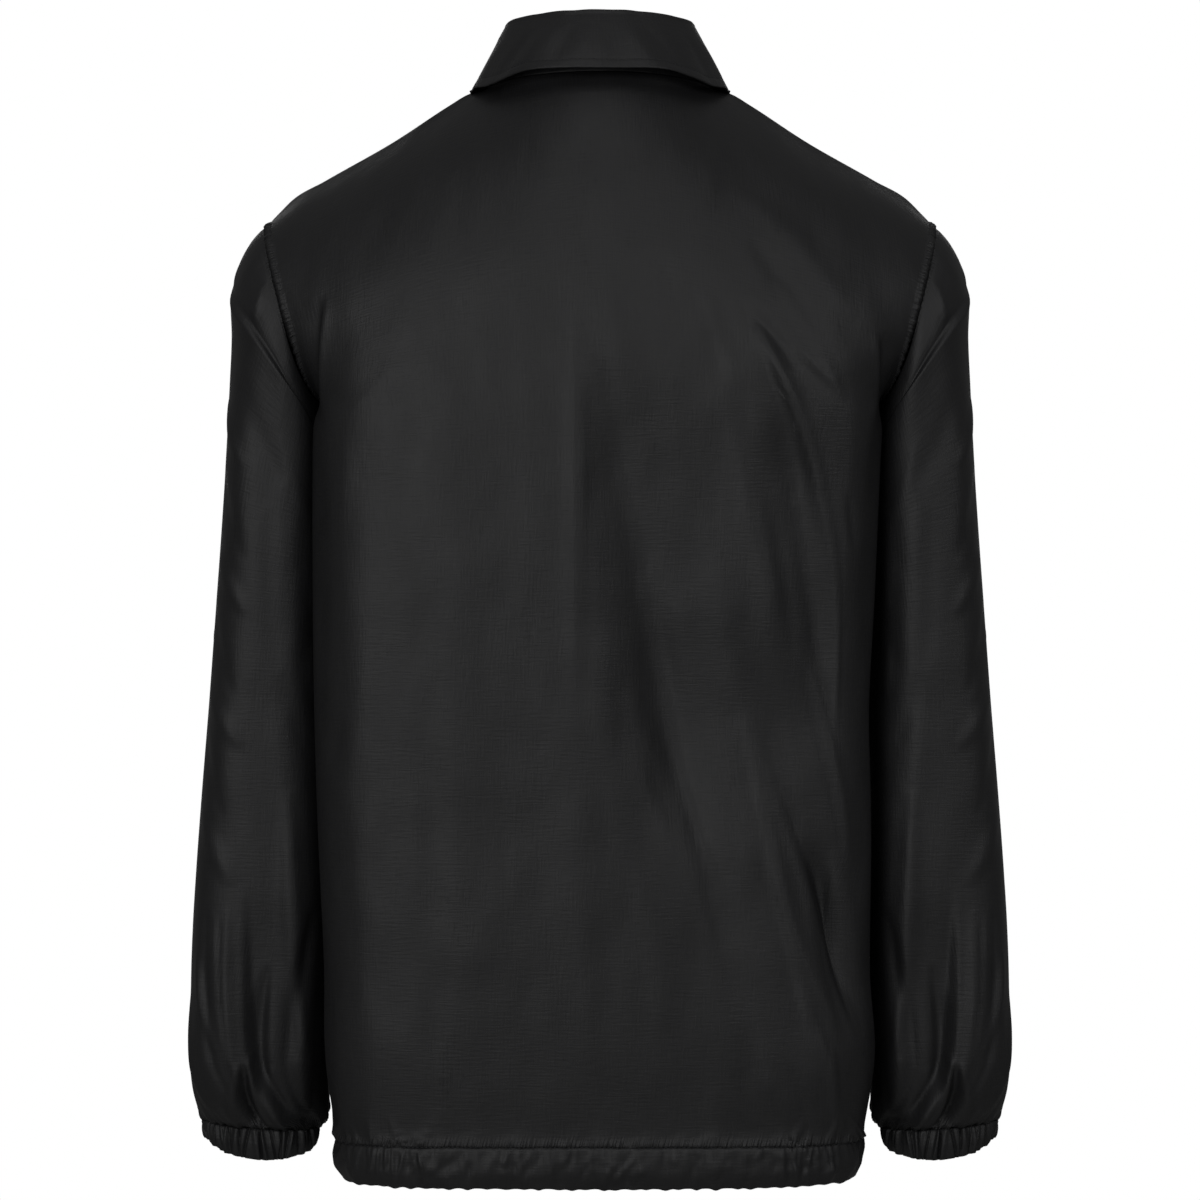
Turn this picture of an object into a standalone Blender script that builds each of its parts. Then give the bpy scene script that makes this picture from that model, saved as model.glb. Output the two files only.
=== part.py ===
"""Windbreaker of the coach-jacket cut, filled out and hollow, as its sewn pieces.

Metres, +Z up. The back faces +Y and the wearer's left is +X. The origin is the middle of the neck,
level with the two points where the shoulder seams meet the collar.
"""
import math

import bpy
import numpy as np

# Driving dimensions
WALL = 0.0016
ELASTIC_WALL = 0.0022
SEAM_GAP = 0.00034
HEM_LEVEL = -0.7170
HEM_MIDDLE = -0.7300
HEM_BOTTOM = -0.7455
HEM_SIDE_LIFT = 0.0040
HEM_PLAIN_SHARE = 0.50
UNDERARM_LEVEL = -0.2280
NECK_HALF_WIDTH = 0.0780
SHOULDER_REACH = 0.2305
SHOULDER_LEVEL = -0.0950
ARMHOLE_HALF_DEPTH = 0.0860
ARMHOLE_LEAN = 0.0360
ARMHOLE_TUCK = 0.0180
ARM_HOLLOW_SPREAD = 0.0540
SIDE_RIDGE_SHARE = 0.38
SIDE_RIDGE_DEPTH = 0.0720
SIDE_RIDGE_SPREAD = 0.0170
HOLLOW_REACH = 0.1200
CUFF_TOP = -0.7125
CUFF_SLANT = 0.0030
CUFF_HEIGHT = 0.0130
CUFF_DROP = 0.0080
COLLAR_HALF_WIDTH = 0.0620
COLLAR_BACK_DEPTH = 0.0470
COLLAR_FRONT_DEPTH = 0.0680
COLLAR_LEVEL = 0.0425
COLLAR_BACK_RISE = 0.0040
COLLAR_FRONT_DROP = 0.0825
COLLAR_OPENING_TURN = 177.0
LEAF_BULGE = 0.0025
LEAF_CLEARANCE = 0.0036
PLACKET_HALF_WIDTH = 0.0180
PLACKET_TOP_GAP = 0.0012
PLACKET_FLAT = 0.0220
PLACKET_BLEND = 0.0300
SNAP_RADIUS = 0.0075
SNAP_SEAT_GAP = 0.0003
SNAP_LEVELS = (-0.112, -0.254, -0.396, -0.538, -0.680)
# Way out of the left armhole, square to its plane
ARMHOLE_OUT = np.array([0.927, 0.0, -0.376])
# Share of the armhole down which the shoulder's shape fades into the body's
SHOULDER_FADE = 0.62
# Folds fade to nothing at a panel's edges: a share of its half width, and lengths in stations and rings
SIDE_FADE = 0.16
NECK_FADE = 0.35
HEM_FADE = 0.06
RING_FADE = 1.5
# Walls that meet at a seam share one direction unless they part by more than this allows
SHARED_WALL_LIMIT = 0.62
SHARP_ANGLE = math.radians(40.0)

# Counts of gathers and of grid steps
CUFF_GATHERS = 22
HEM_GATHERS = 12
HEM_PLAIN_STEPS = 6
UPPER_STEPS = 12
LOWER_STEPS = 14
HALF_STEPS = 16
NECK_STEPS = 6
SLEEVE_STEPS = 20
PLACKET_STEPS = 3
LEAF_STEPS = 32
SNAP_SIDES = 14

# Materials: base colour, roughness, metallic
FABRIC_LOOK = ((0.016, 0.016, 0.017, 1.0), 0.42, 0.0)
SNAP_LOOK = ((0.020, 0.020, 0.021, 1.0), 0.30, 0.0)


def table(names, *rows):
    """A table of sections: each named column becomes an array."""
    return {name: np.array(column) for name, column in zip(names.split(), zip(*rows))}


# One row per section of the body. A station runs 0 to 1 along the armhole and 1 to 2 down to the hem.
# Depths are from the plane of the side seams to the centre back and the centre front.
TORSO = table(
    "station back_level back_depth front_level front_depth squareness hollow left right",
    (0.000, 0.0062, 0.0620, -0.072, 0.0780, 2.3, 0.0000, 0.1930, 0.1930),
    (0.083, -0.010, 0.0780, -0.080, 0.0855, 2.3, 0.0000, 0.1930, 0.1930),
    (0.167, -0.027, 0.0910, -0.090, 0.0925, 2.4, 0.0000, 0.1930, 0.1930),
    (0.250, -0.046, 0.1015, -0.101, 0.0990, 2.5, 0.0000, 0.1930, 0.1930),
    (0.333, -0.067, 0.1090, -0.112, 0.1045, 2.6, 0.0000, 0.1930, 0.1930),
    (0.500, -0.110, 0.1185, -0.138, 0.1130, 2.8, 0.0000, 0.1930, 0.1930),
    (0.667, -0.150, 0.1240, -0.167, 0.1190, 3.1, 0.0025, 0.1930, 0.1920),
    (0.833, -0.190, 0.1275, -0.198, 0.1230, 3.5, 0.0080, 0.1920, 0.1910),
    (0.917, -0.209, 0.1285, -0.213, 0.1245, 3.7, 0.0130, 0.1920, 0.1905),
    (1.000, -0.228, 0.1290, -0.228, 0.1255, 3.8, 0.0150, 0.1915, 0.1900),
    (1.150, -0.301, 0.1285, -0.301, 0.1265, 3.8, 0.0190, 0.1925, 0.1880),
    (1.360, -0.404, 0.1260, -0.404, 0.1270, 3.6, 0.0170, 0.1920, 0.1845),
    (1.560, -0.502, 0.1225, -0.502, 0.1255, 3.4, 0.0100, 0.1900, 0.1870),
    (1.760, -0.600, 0.1190, -0.600, 0.1220, 3.2, 0.0040, 0.1870, 0.1880),
    (1.900, -0.668, 0.1150, -0.668, 0.1180, 3.0, 0.0010, 0.1865, 0.1865),
    (2.000, -0.717, 0.1090, -0.717, 0.1120, 2.9, 0.0000, 0.1795, 0.1795),
)

# The shoulder seam, from the collar to the armhole, as reach from the middle and level
SHOULDER = table(
    "reach level",
    (0.0780, 0.0000),
    (0.0920, -0.0028),
    (0.1035, -0.0097),
    (0.1414, -0.0345),
    (0.1898, -0.0621),
    (0.2132, -0.0759),
    (0.2305, -0.0950),
)

# One row per ring of the left sleeve: its outermost and innermost points and its half depth
SLEEVE = table(
    "ring out_x out_z in_x in_z half_depth",
    (0.0, 0.2305, -0.0950, 0.1765, -0.2280, 0.0860),
    (1.0, 0.2400, -0.1070, 0.1786, -0.2315, 0.0870),
    (2.0, 0.2480, -0.1240, 0.1804, -0.2360, 0.0875),
    (3.0, 0.2517, -0.1450, 0.1816, -0.2430, 0.0870),
    (4.0, 0.2514, -0.1720, 0.1824, -0.2520, 0.0855),
    (5.0, 0.2530, -0.2050, 0.1828, -0.2640, 0.0830),
    (6.0, 0.2550, -0.2450, 0.1830, -0.2830, 0.0800),
    (7.0, 0.2585, -0.3000, 0.1834, -0.3180, 0.0765),
    (8.0, 0.2630, -0.3600, 0.1840, -0.3660, 0.0725),
    (9.0, 0.2675, -0.4200, 0.1850, -0.4210, 0.0690),
    (10.0, 0.2725, -0.4800, 0.1870, -0.4800, 0.0655),
    (11.0, 0.2770, -0.5400, 0.1900, -0.5400, 0.0630),
    (12.0, 0.2800, -0.5950, 0.1910, -0.5950, 0.0615),
    (13.0, 0.2815, -0.6350, 0.1905, -0.6350, 0.0605),
    (14.0, 0.2818, -0.6650, 0.1895, -0.6680, 0.0580),
    (15.0, 0.2803, -0.6840, 0.1872, -0.6890, 0.0530),
    (16.0, 0.2770, -0.6985, 0.1876, -0.7045, 0.0470),
    (17.0, 0.2730, -0.7095, 0.1945, -0.7155, 0.0400),
)

# Lower edge of the collar leaf by turn from the centre back, 0, to the centre front, 180 degrees.
# Forward of the shoulder its depth is taken from the front panel that it lies on.
LEAF_EDGE = table(
    "turn x y z",
    (0.0, 0.0000, 0.0830, 0.0068),
    (30.0, 0.0460, 0.0740, 0.0064),
    (60.0, 0.0745, 0.0450, 0.0045),
    (90.0, 0.0860, 0.0050, 0.0022),
    (115.0, 0.0850, -0.0300, -0.0120),
    (140.0, 0.0780, -0.0620, -0.0420),
    (160.0, 0.0670, -0.0850, -0.0700),
    (180.0, 0.0520, -0.1000, -0.0980),
)

# The collar leaf rolls over the fold line: steps out from it and up, square to its run
LEAF_ROLL = table(
    "out up",
    (-0.0006, 0.0024),
    (0.0022, 0.0028),
    (0.0040, 0.0004),
)
# Shares of the way from the roll to the leaf's edge
LEAF_HANG = (0.33, 0.67, 1.0)

# Rows of a cuff, top to bottom, and how far its gathers stand out there
CUFF = table(
    "share middle half_width half_depth gather",
    (0.0, 0.2339, 0.0380, 0.0388, 0.0006),
    (0.5, 0.2340, 0.0368, 0.0385, 0.0022),
    (1.0, 0.2338, 0.0352, 0.0365, 0.0014),
)

# Rows of the hem casing, top to bottom: how far it swells out and how far its gathers stand out
HEM = table(
    "level swell gather",
    (HEM_LEVEL - SEAM_GAP, 0.0000, 0.0006),
    (HEM_MIDDLE, 0.0000, 0.0018),
    (HEM_BOTTOM, -0.0042, 0.0010),
)

# A snap cap's outline: radius and height above its seat
SNAP_PROFILE = (
    (SNAP_RADIUS, 0.0000),
    (SNAP_RADIUS, 0.0009),
    (0.0062, 0.0018),
    (0.0030, 0.0022),
)

# Largest folds of the back: start and end in X and Z, half width, and height (a trough is below
# zero). The front panels have like ones of their own.
BACK_FOLDS = table(
    "x0 z0 x1 z1 width height",
    (0.0130, -0.150, 0.0090, -0.380, 0.015, 0.0040),
    (-0.0080, -0.190, -0.0110, -0.400, 0.018, -0.0050),
    (0.0000, -0.330, -0.0700, -0.560, 0.018, 0.0035),
    (-0.0300, -0.360, -0.1350, -0.680, 0.016, -0.0040),
    (-0.0960, -0.410, -0.1700, -0.660, 0.014, 0.0045),
    (-0.1120, -0.400, -0.1780, -0.640, 0.014, -0.0045),
    (-0.0920, -0.200, -0.1650, -0.380, 0.015, 0.0035),
    (-0.0700, -0.110, -0.1500, -0.270, 0.016, 0.0030),
    (0.0900, -0.300, 0.0950, -0.650, 0.030, 0.0030),
    (0.1350, -0.250, 0.1400, -0.600, 0.026, -0.0030),
    (0.0450, -0.350, 0.0400, -0.690, 0.024, -0.0025),
)
FRONT_FOLDS = table(
    "x0 z0 x1 z1 width height",
    (0.1300, -0.200, 0.0700, -0.420, 0.018, 0.0035),
    (-0.1250, -0.220, -0.0750, -0.460, 0.018, 0.0035),
    (0.1500, -0.300, 0.0950, -0.560, 0.018, -0.0040),
    (-0.1480, -0.280, -0.1000, -0.600, 0.018, -0.0040),
    (0.1200, -0.430, 0.0900, -0.700, 0.022, 0.0035),
    (-0.0600, -0.400, -0.0650, -0.690, 0.022, 0.0030),
)
# Folds on each sleeve, back and front alike, in the left sleeve's X and Z
SLEEVE_FOLDS = table(
    "x0 z0 x1 z1 width height",
    (0.2520, -0.156, 0.1960, -0.226, 0.010, 0.0035),
    (0.2520, -0.174, 0.2000, -0.244, 0.010, -0.0045),
    (0.2480, -0.280, 0.2180, -0.420, 0.012, -0.0030),
    (0.2350, -0.500, 0.2100, -0.690, 0.013, -0.0045),
    (0.2560, -0.540, 0.2450, -0.690, 0.012, 0.0035),
)


def smooth_read(source, key, name, at):
    """A column of a table at any station between its rows, as a smooth curve through the rows."""
    stations = source[key]
    values = source[name]
    slopes = np.gradient(values, stations)
    at = np.clip(at, stations[0], stations[-1])
    low = np.clip(np.searchsorted(stations, at, side="right") - 1, 0, len(stations) - 2)
    span = stations[low + 1] - stations[low]
    t = (at - stations[low]) / span
    rise = values[low + 1] - values[low]
    start = slopes[low] * span
    end = slopes[low + 1] * span
    return values[low] + t * start + t**2 * (3 * rise - 2 * start - end) + t**3 * (start + end - 2 * rise)


def along(curve, fractions):
    """Points at fractions of a polyline's length."""
    steps = np.linalg.norm(np.diff(curve, axis=0), axis=1)
    travelled = np.concatenate(([0.0], np.cumsum(steps)))
    wanted = np.asarray(fractions) * travelled[-1]
    return np.stack([np.interp(wanted, travelled, curve[:, axis]) for axis in range(3)], axis=1)


def armhole(angle):
    """The left armhole seam by angle: 0 at the shoulder, half a turn at the underarm, back first."""
    down = (1.0 - np.cos(angle)) / 2.0
    x = SHOULDER_REACH - ARMHOLE_LEAN * down**1.1 - ARMHOLE_TUCK * down**12
    y = ARMHOLE_HALF_DEPTH * np.sign(np.sin(angle)) * np.abs(np.sin(angle)) ** 0.92
    z = SHOULDER_LEVEL + (UNDERARM_LEVEL - SHOULDER_LEVEL) * down
    return np.stack([x, y, z], axis=-1)


def neckline(face, turn):
    """A quarter of the neck seam: turn 0 at the centre and a quarter turn at the shoulder."""
    x = NECK_HALF_WIDTH * np.sin(turn)
    centre_depth = TORSO[face + "_depth"][0]
    centre_level = TORSO[face + "_level"][0]
    facing = 1.0 if face == "back" else -1.0
    y = facing * centre_depth * np.cos(turn)
    z = centre_level * np.cos(turn) ** 1.4
    return np.stack([x, y, z], axis=-1)


def top_row(face, fractions):
    """The top of a half panel: its neckline and then its shoulder seam, at the row's fractions."""
    corner = NECK_STEPS / HALF_STEPS
    neck = neckline(face, np.linspace(0.0, math.pi / 2, 60))
    reach = np.linspace(NECK_HALF_WIDTH, SHOULDER_REACH, 60)
    level = smooth_read(SHOULDER, "reach", "level", reach)
    seam = np.stack([reach, np.zeros_like(reach), level], axis=1)
    on_neck = along(neck, np.clip(fractions / corner, 0.0, 1.0))
    on_seam = along(seam, np.clip((fractions - corner) / (1.0 - corner), 0.0, 1.0))
    return np.where((fractions <= corner)[:, None], on_neck, on_seam)


def body_section(face, side, station, fractions):
    """One row of a half panel, from the centre to the armhole or the side seam, before the shoulders."""
    depth = smooth_read(TORSO, "station", face + "_depth", station)
    centre_level = smooth_read(TORSO, "station", face + "_level", station)
    power = 2.0 / smooth_read(TORSO, "station", "squareness", station)
    hollow = smooth_read(TORSO, "station", "hollow", station)
    half_width = smooth_read(TORSO, "station", side, station)
    if station < 1.0:
        end_x, end_y, end_level = armhole(np.float64(math.pi * station))
    else:
        end_x, end_y, end_level = half_width - hollow, 0.0, centre_level

    def arm_room(y):
        return hollow * np.exp(-((y / ARM_HOLLOW_SPREAD) ** 2))

    def side_ridge(y):
        return SIDE_RIDGE_SHARE * hollow * np.exp(-(((y - SIDE_RIDGE_DEPTH) / SIDE_RIDGE_SPREAD) ** 2))

    end_angle = math.acos(min(1.0, (end_y / depth) ** (1.0 / power)))
    flat_end = end_x + arm_room(end_y) - side_ridge(end_y)
    width = flat_end / math.sin(end_angle) ** power
    angle = np.linspace(0.0, 1.0, 240) ** 1.6 * end_angle
    x = width * np.sin(angle) ** power
    y = depth * np.maximum(np.cos(angle), 0.0) ** power
    x = x + (side_ridge(y) - arm_room(y)) * np.minimum(1.0, x / HOLLOW_REACH)
    facing = 1.0 if face == "back" else -1.0
    curve = np.stack([x, facing * y, np.zeros_like(x)], axis=1)
    row = along(curve, fractions)
    row[:, 2] = centre_level + (end_level - centre_level) * fractions**1.5
    return row


def half_panel(face, side, stations, fractions):
    """A half panel of the body as a grid: rows run down it, columns from the centre to its side."""
    lift = top_row(face, fractions) - body_section(face, side, 0.0, fractions)
    rows = []
    for station in stations:
        share = max(0.0, 1.0 - station / SHOULDER_FADE) ** 2.4
        rows.append(body_section(face, side, station, fractions) + share * lift)
    grid = np.array(rows)
    if side == "right":
        grid[..., 0] *= -1.0
    return grid


def fold_height(folds, x, z):
    """Height of the folds at each point: every fold fades out across its width and at its ends."""
    height = np.zeros_like(x)
    for x0, z0, x1, z1, width, rise in zip(*[folds[name] for name in "x0 z0 x1 z1 width height".split()]):
        length = math.hypot(x1 - x0, z1 - z0)
        along_x, along_z = (x1 - x0) / length, (z1 - z0) / length
        travel = ((x - x0) * along_x + (z - z0) * along_z) / length
        across = (x - x0) * along_z - (z - z0) * along_x
        fade = np.sin(np.pi * np.clip(travel, 0.0, 1.0)) ** 0.7
        height += rise * fade * np.exp(-((across / width) ** 2))
    return height


def beside_placket(x):
    """Share of its full height that a fold or swell has at X: none under the placket."""
    return np.clip((np.abs(x) - PLACKET_FLAT) / PLACKET_BLEND, 0.0, 1.0)


def grid_normals(grid, closed):
    """Unit normals of a grid, from its neighbours each way."""
    down = np.gradient(grid, axis=0)
    if closed:
        across = (np.roll(grid, -1, axis=1) - np.roll(grid, 1, axis=1)) / 2.0
    else:
        across = np.gradient(grid, axis=1)
    normals = np.cross(across, down)
    return normals / np.linalg.norm(normals, axis=-1, keepdims=True)


def outward(normals, grid, axis_point):
    """The same normals, turned to point away from a point inside."""
    if np.sum(normals * (grid - axis_point)) < 0.0:
        return -normals
    return normals


def split_quad(points, a, b, c, d):
    """Two triangles across a quad's shorter diagonal, so both faces of a wall are cut the same way."""
    if np.linalg.norm(points[a] - points[c]) <= np.linalg.norm(points[b] - points[d]):
        return (a, b, c), (a, c, d)
    return (a, b, d), (b, c, d)


def panel_object(name, outer, inner_face, look, closed=False):
    """A cloth wall as a closed solid, from the grids of its outer and inner faces."""
    row_count, column_count = outer.shape[:2]
    points = np.concatenate([outer.reshape(-1, 3), inner_face.reshape(-1, 3)])
    inner = row_count * column_count
    faces = []
    last_column = column_count if closed else column_count - 1
    for row in range(row_count - 1):
        for column in range(last_column):
            a = row * column_count + column
            b = row * column_count + (column + 1) % column_count
            c, d = b + column_count, a + column_count
            for corners in split_quad(points, a, b, c, d):
                faces.append(corners)
                faces.append(tuple(inner + corner for corner in reversed(corners)))
    for column in range(last_column):
        following = (column + 1) % column_count
        foot = (row_count - 1) * column_count
        faces.append((following, column, inner + column, inner + following))
        faces.append((foot + column, foot + following, inner + foot + following, inner + foot + column))
    if not closed:
        for row in range(row_count - 1):
            a, b = row * column_count, (row + 1) * column_count
            c, d = a + column_count - 1, b + column_count - 1
            faces.append((a, b, inner + b, inner + a))
            faces.append((d, c, inner + c, inner + d))
    return solid_object(name, points, faces, look)


def solid_object(name, points, faces, look):
    """A mesh object with outward faces, smooth shading and its own material."""
    mesh = bpy.data.meshes.new(name)
    mesh.from_pydata([tuple(point) for point in points], [], faces)
    volume = 0.0
    for polygon in mesh.polygons:
        corners = [points[index] for index in polygon.vertices]
        for second, third in zip(corners[1:], corners[2:]):
            volume += float(np.dot(corners[0], np.cross(second, third)))
    if volume < 0.0:
        mesh.flip_normals()
    mesh.shade_smooth()
    mesh.set_sharp_from_angle(angle=SHARP_ANGLE)
    base_color, roughness, metallic = look
    material = bpy.data.materials.new(name + "_material")
    material.use_nodes = True
    shader = material.node_tree.nodes["Principled BSDF"]
    shader.inputs["Base Color"].default_value = base_color
    shader.inputs["Roughness"].default_value = roughness
    shader.inputs["Metallic"].default_value = metallic
    mesh.materials.append(material)
    body = bpy.data.objects.new(name, mesh)
    bpy.context.scene.collection.objects.link(body)
    return body


def drawn_in(grid, top=0.0, bottom=0.0, first=0.0, last=0.0):
    """A copy of a grid with its edges moved in along the cloth, to part it from its neighbours."""
    moved = grid.copy()
    for edge, neighbour, amount in ((0, 1, top), (-1, -2, bottom)):
        step = grid[neighbour] - grid[edge]
        moved[edge] += amount * step / np.linalg.norm(step, axis=-1, keepdims=True)
    for edge, neighbour, amount in ((0, 1, first), (-1, -2, last)):
        step = moved[:, neighbour] - moved[:, edge]
        moved[:, edge] += amount * step / np.linalg.norm(step, axis=-1, keepdims=True)
    return moved


def body_stations():
    """Rows of the body: along the armhole, then down to the hem."""
    upper = np.linspace(0.0, 1.0, UPPER_STEPS + 1)
    lower = np.linspace(1.0, 2.0, LOWER_STEPS + 1)
    return np.concatenate([upper, lower[1:]])


def full_face(face, stations):
    """The whole back or front, from the wearer's right to the left, with its folds."""
    fractions = np.linspace(0.0, 1.0, HALF_STEPS + 1)
    left = half_panel(face, "left", stations, fractions)
    right = half_panel(face, "right", stations, fractions)
    grid = np.concatenate([right[:, ::-1], left[:, 1:]], axis=1)
    normals = outward(grid_normals(grid, False), grid, np.array([0.0, 0.0, -0.4]))
    folds = BACK_FOLDS if face == "back" else FRONT_FOLDS
    from_side = 1.0 - np.abs(np.linspace(-1.0, 1.0, 2 * HALF_STEPS + 1))
    fade = np.minimum(1.0, from_side / SIDE_FADE)[None, :]
    fade = fade * np.minimum(1.0, stations / NECK_FADE)[:, None]
    fade = fade * np.minimum(1.0, (2.0 - stations) / HEM_FADE)[:, None]
    if face == "front":
        fade = fade * beside_placket(grid[..., 0])
    height = fold_height(folds, grid[..., 0], grid[..., 2]) * fade
    grid = grid + height[..., None] * normals
    normals = outward(grid_normals(grid, False), grid, np.array([0.0, 0.0, -0.4]))
    return grid, normals


def sleeve_grid(rings, steps):
    """The left sleeve: rings from the armhole to the cuff, each starting at its outermost point."""
    angle = np.linspace(0.0, 2 * math.pi, steps, endpoint=False)

    def oval(ring):
        out_x, out_z, in_x, in_z, half_depth = (
            smooth_read(SLEEVE, "ring", name, ring) for name in "out_x out_z in_x in_z half_depth".split()
        )
        x = (out_x + in_x) / 2 + (out_x - in_x) / 2 * np.cos(angle)
        y = half_depth * np.sign(np.sin(angle)) * np.abs(np.sin(angle)) ** 0.95
        z = (out_z + in_z) / 2 + (out_z - in_z) / 2 * np.cos(angle)
        return np.stack([x, y, z], axis=1)

    lift = armhole(angle) - oval(0.0)
    grid = np.array([oval(ring) + max(0.0, 1.0 - ring / 5.0) ** 2 * lift for ring in rings])
    normals = ring_normals(grid)
    fade = np.minimum(1.0, rings / RING_FADE) * np.minimum(1.0, (rings[-1] - rings) / RING_FADE)
    fade = fade[:, None] * np.abs(np.sin(angle))[None, :] ** 0.6
    height = fold_height(SLEEVE_FOLDS, grid[..., 0], grid[..., 2]) * fade
    return grid + height[..., None] * normals


def ring_normals(grid):
    """Outward normals of a tube of rings."""
    normals = grid_normals(grid, True)
    middle = grid.mean(axis=1, keepdims=True)
    if np.sum(normals * (grid - middle)) < 0.0:
        return -normals
    return normals


def share_normals(*edges):
    """Give pieces that meet at a seam one wall direction, except where they lie back to back."""
    for row in range(len(edges[0])):
        total = sum(edge[row] for edge in edges)
        if np.linalg.norm(total) > SHARED_WALL_LIMIT * len(edges):
            for edge in edges:
                edge[row] = total / np.linalg.norm(total)


def body_and_sleeves():
    """Back, two fronts and two sleeves, whose walls are square to each seam that they share."""
    stations = body_stations()
    back, back_normals = full_face("back", stations)
    front, front_normals = full_face("front", stations)
    last_ring = SLEEVE["ring"][-1]
    rings = np.concatenate([np.arange(0.0, 6.0, 1.0), np.linspace(6.0, last_ring, SLEEVE_STEPS - 5)])
    sleeve = sleeve_grid(rings, 2 * UPPER_STEPS)
    sleeve_normals = ring_normals(sleeve)
    for column in range(1, HALF_STEPS - NECK_STEPS + 1):
        for on_seam in (column, 2 * HALF_STEPS - column):
            share_normals(back_normals[:1, on_seam], front_normals[:1, on_seam])
    for edge, mirror in ((0, -1.0), (-1, 1.0)):
        share_normals(back_normals[UPPER_STEPS + 1:, edge], front_normals[UPPER_STEPS + 1:, edge])
        seam = sleeve_normals[0] * np.array([mirror, 1.0, 1.0])
        for row in range(1, UPPER_STEPS):
            share_normals(back_normals[row:row + 1, edge], seam[row:row + 1])
            share_normals(front_normals[row:row + 1, edge], seam[-row][None, :])
        share_normals(back_normals[:1, edge], front_normals[:1, edge], seam[:1])
        share_normals(back_normals[UPPER_STEPS:UPPER_STEPS + 1, edge],
                      front_normals[UPPER_STEPS:UPPER_STEPS + 1, edge])
    # The left side comes last, so its seam is the one that the left sleeve keeps
    sleeve_normals[0] = seam
    sleeve[0] += SEAM_GAP * ARMHOLE_OUT
    half_gap = SEAM_GAP / 2
    back_cut = part_sides(drawn_in(back, top=half_gap), half_gap)
    front_cut = part_sides(drawn_in(front, top=half_gap), half_gap)
    panel_object("back_panel", back_cut, back_cut - WALL * back_normals, FABRIC_LOOK)
    centre = HALF_STEPS
    for name, columns, end in (("front_right", slice(0, centre + 1), "last"),
                               ("front_left", slice(centre, None), "first")):
        grid = drawn_in(front_cut[:, columns], **{end: half_gap})
        panel_object(name, grid, grid - WALL * front_normals[:, columns], FABRIC_LOOK)
    inner = sleeve - WALL * sleeve_normals
    for name, mirror in (("sleeve_left", 1.0), ("sleeve_right", -1.0)):
        turn = np.array([mirror, 1.0, 1.0])
        panel_object(name, sleeve * turn, inner * turn, FABRIC_LOOK, closed=True)
    return (back, back_normals), (front, front_normals)


def part_sides(grid, amount):
    """Move the side seams apart, below the underarm only."""
    below = drawn_in(grid[UPPER_STEPS:], first=amount, last=amount)
    return np.concatenate([grid[:UPPER_STEPS], below])


def cuffs():
    """Elastic cuffs: gathers stand out from a plain inner ring."""
    step_count = 4 * CUFF_GATHERS
    angle = np.linspace(0.0, 2 * math.pi, step_count, endpoint=False)
    outer, inner = [], []
    top = CUFF_TOP - SEAM_GAP + CUFF_SLANT * np.cos(angle)
    height = CUFF_HEIGHT + CUFF_DROP * np.abs(np.sin(angle)) ** 1.5
    for share, middle, half_width, half_depth, gather in zip(*CUFF.values()):
        ridge = gather * (1.0 + np.cos(CUFF_GATHERS * angle)) / 2.0
        for rows, extra in ((outer, ridge), (inner, -ELASTIC_WALL * np.ones_like(angle))):
            x = middle + (half_width + extra) * np.cos(angle)
            y = (half_depth + extra) * np.sin(angle)
            rows.append(np.stack([x, y, top - share * height], axis=1))
    for name, mirror in (("cuff_left", 1.0), ("cuff_right", -1.0)):
        turn = np.array([mirror, 1.0, 1.0])
        panel_object(name, np.array(outer) * turn, np.array(inner) * turn, FABRIC_LOOK, closed=True)


def hem_grid(face, side):
    """Half of a hem casing from the centre to the side seam, as its outer and inner faces."""
    plain = np.linspace(0.0, HEM_PLAIN_SHARE, HEM_PLAIN_STEPS + 1)
    gathered = np.linspace(HEM_PLAIN_SHARE, 1.0, 3 * HEM_GATHERS + 1)[1:]
    fractions = np.concatenate([plain, gathered])
    base = body_section(face, side, 2.0, fractions)
    along_row = np.gradient(base, axis=0)
    out = np.stack([-along_row[:, 1], along_row[:, 0], np.zeros(len(base))], axis=1)
    out /= np.linalg.norm(out, axis=1, keepdims=True)
    if face == "front":
        out = -out
    out[0] = (0.0, 1.0 if face == "back" else -1.0, 0.0)
    out[-1] = (1.0, 0.0, 0.0)
    if side == "right":
        base = base * np.array([-1.0, 1.0, 1.0])
        out = out * np.array([-1.0, 1.0, 1.0])
    wave = np.clip((fractions - HEM_PLAIN_SHARE) / (1.0 - HEM_PLAIN_SHARE), 0.0, 1.0)
    ridge = (1.0 - np.cos(2 * math.pi * HEM_GATHERS * wave)) / 2.0
    swell_share = beside_placket(base[:, 0]) if face == "front" else np.ones_like(wave)
    outer, inner = [], []
    for level, swell, gather in zip(*HEM.values()):
        for rows, extra in ((outer, gather * ridge), (inner, -WALL * np.ones_like(ridge))):
            row = base + out * (swell * swell_share + extra)[:, None]
            row[:, 2] = level
            if level == HEM_BOTTOM:
                row[:, 2] += HEM_SIDE_LIFT * fractions**2
            rows.append(row)
    return np.array(outer), np.array(inner)


def hem():
    """The hem casing: one piece across the back, one on each front."""
    half_gap = SEAM_GAP / 2
    left, right = hem_grid("back", "left"), hem_grid("back", "right")
    outer, inner = (np.concatenate([b[:, ::-1], a[:, 1:]], axis=1) for a, b in zip(left, right))
    pieces = [("hem_back", outer, inner)]
    pieces += [("hem_front_" + side, *hem_grid("front", side)) for side in ("left", "right")]
    for name, outer, inner in pieces:
        outer, inner = (drawn_in(grid, first=half_gap, last=half_gap) for grid in (outer, inner))
        panel_object(name, outer, inner, FABRIC_LOOK)


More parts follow.
